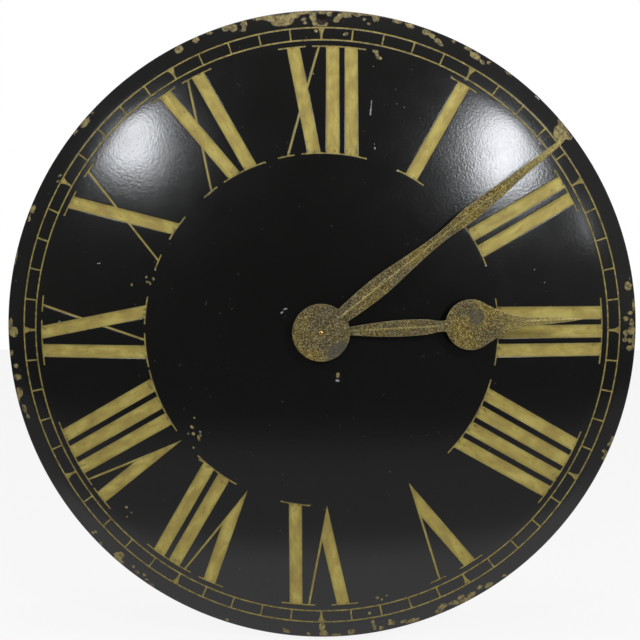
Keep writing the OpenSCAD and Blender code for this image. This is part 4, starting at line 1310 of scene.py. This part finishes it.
# Brightness of the mirrored floor by distance in front of the origin
FLOOR_LEVELS = ((0.0, FLOOR_TONE), (0.11, FLOOR_TONE), (0.17, 0.38), (0.43, 0.36), (0.63, 0.09))
WALL_PATCH_R = 268.6
WALL_PATCH_STEPS = 96
WALL_GAP = 0.0004
CAMERA_AT = Vector((3.2 * MM, WALL_Y - 0.750, CENTRE_Z + 46.5 * MM))
LOOK_DOWN = math.radians(2.937)
LOOK_LEFT = math.radians(0.336)
LENS = 48.98
SENSOR = 36
CLIP_START = 0.01
ROOM_LEVELS = ((0.5, 0.40), (0.8, 0.21), (0.99, 0.085))
ROOM_BLUE = 0.97
SIDE_SLOPE = 0.26
SIDE_LEVEL = 0.78
LAMP_DISTANCE = 1.3
LAMP_COLOUR = (0.93, 0.96, 1.0)
TOP_LAMP_AT = Vector((0, WALL_Y - 0.20, CENTRE_Z + 1.15))
TOP_LAMP_AIM = Vector((0, WALL_Y, CENTRE_Z + 0.1))
TOP_LAMP = (0.9, 0.16, 3.4)
# Lamps seen in the dome: clock angle and radius of the highlight, then width, height and power
SOFTBOXES = {
    "softbox_right": (45.6, 213, 0.215, 0.31, 6.6),
    "softbox_left": (315.3, 224.5, 0.195, 0.245, 4.5),
    "softbox_low": (67.5, 239, 0.10, 0.15, 0.32),
}


def stage_floor():
    """A pale floor just under the dial, brighter close to the clock where the dial mirrors it."""
    corners = [(x * FLOOR_HALF, y * FLOOR_HALF, FLOOR_Z) for x, y in ((-1, -1), (1, -1), (1, 1), (-1, 1))]
    floor = new_object("floor", corners, [(0, 1, 2, 3)])
    n = Nodes("floor_white")
    n.put(Base_Color=FLOOR_TONE, Roughness=0.9)
    glow = n.times(n.ray("Camera"), FLOOR_GLOW)
    white = n.add("Emission")
    seen = n.mix_shader(glow, n.shader.outputs[0], white.outputs[0])
    shade = n.ramp(n.times(n.parts(n.place)[1], -1.0), *FLOOR_LEVELS)
    mirrored = n.fill(n.add("Emission"), Color=shade)
    n.show(n.mix_shader(n.ray("Glossy"), seen, mirrored.outputs[0]))
    paint(floor, n.material)


def stage_wall():
    """The wall behind the dial, painted dark brown as shade, seen only through the hanging hole and not
    from behind.
    """
    x, y = np.array(ring_points(WALL_PATCH_R, WALL_PATCH_STEPS)).T
    ring = to_row(x, y, -WALL_GAP / MM)
    wall = new_object("wall_behind", ring, [tuple(range(WALL_PATCH_STEPS))])
    if wall.data.polygons[0].normal.y > 0:
        wall.data.flip_normals()
    n = Nodes("wall_dark_shade")
    # Painted shade: a dark brown far below a wall's colour, on top of the real shadow of the dial.
    tone = n.ramp(n.noise(30, 4), (0.3, (0.11, 0.085, 0.070)), (0.7, (0.14, 0.11, 0.09)))
    n.put(Base_Color=tone, Roughness=0.9)
    from_front = n.math("SUBTRACT", 1.0, n.add("NewGeometry").outputs["Backfacing"])
    seen = n.times(from_front, n.ray("Camera"))
    clear = n.add("BsdfTransparent")
    n.show(n.mix_shader(seen, clear.outputs[0], n.shader.outputs[0]))
    paint(wall, n.material)


def stage_world():
    """White behind the clock, a dim room in front of it."""
    world = bpy.data.worlds.new("studio")
    bpy.context.scene.world = world
    n = Tree(world)
    right, back, _ = n.parts(n.add("TexCoord").outputs["Generated"])
    stops = [(at, (level, level, level * ROOM_BLUE)) for at, level in ROOM_LEVELS]
    room = n.fill(
        n.tree.nodes["Background"],
        Color=n.ramp(n.times(back, -1.0), *stops),
        Strength=n.scaled(right, SIDE_SLOPE, SIDE_LEVEL),
    )
    white = n.fill(n.add("Background"), Color=1.0, Strength=1.0)
    blend = n.mix_shader(n.ray("Camera"), room.outputs[0], white.outputs[0])
    n.fill(n.tree.nodes["World Output"], Surface=blend)


def add_aimed(name, data, at, aim):
    """Puts a lamp or a camera in the scene, looking along a direction."""
    obj = bpy.data.objects.new(name, data)
    obj.location = at
    obj.rotation_euler = aim.to_track_quat("-Z", "Y").to_euler()
    bpy.context.scene.collection.objects.link(obj)
    return obj


def stage_camera():
    data = bpy.data.cameras.new("camera")
    data.sensor_width = SENSOR
    data.lens = LENS
    data.clip_start = CLIP_START
    level = math.cos(LOOK_DOWN)
    look = Vector((-math.sin(LOOK_LEFT) * level, math.cos(LOOK_LEFT) * level, -math.sin(LOOK_DOWN)))
    bpy.context.scene.camera = add_aimed("camera", data, CAMERA_AT, look)


def mirrored_ray(clock_angle, radius):
    """A point of the dome, and where the camera's ray goes from there."""
    x, y = turn(0, 1, clock_angle)
    point = Vector(to_row(x * radius, y * radius, height(radius)))
    tilt = fall(radius)
    normal = Vector((tilt * x, -1, tilt * y)).normalized()
    ray = (point - CAMERA_AT).normalized()
    return point, ray - 2 * ray.dot(normal) * normal


def area_lamp(name, at, aim, width, tall, watts, colour=(1, 1, 1)):
    data = bpy.data.lights.new(name, "AREA")
    data.shape = "RECTANGLE"
    data.size, data.size_y = width, tall
    data.energy = watts
    data.color = colour
    add_aimed(name, data, at, aim)


def stage_lamps():
    """Softboxes where the dome mirrors them, and a broad lamp above that it doesn't mirror."""
    for name, (clock_angle, radius, width, tall, watts) in SOFTBOXES.items():
        point, out = mirrored_ray(clock_angle, radius)
        area_lamp(name, point + out * LAMP_DISTANCE, -out, width, tall, watts, LAMP_COLOUR)
    area_lamp("softbox_top", TOP_LAMP_AT, TOP_LAMP_AIM - TOP_LAMP_AT, *TOP_LAMP)


dress_dial()
dress_hands()
dress_movement()
stage_floor()
stage_wall()
stage_world()
stage_camera()
stage_lamps()

bpy.context.scene.view_settings.view_transform = "Standard"
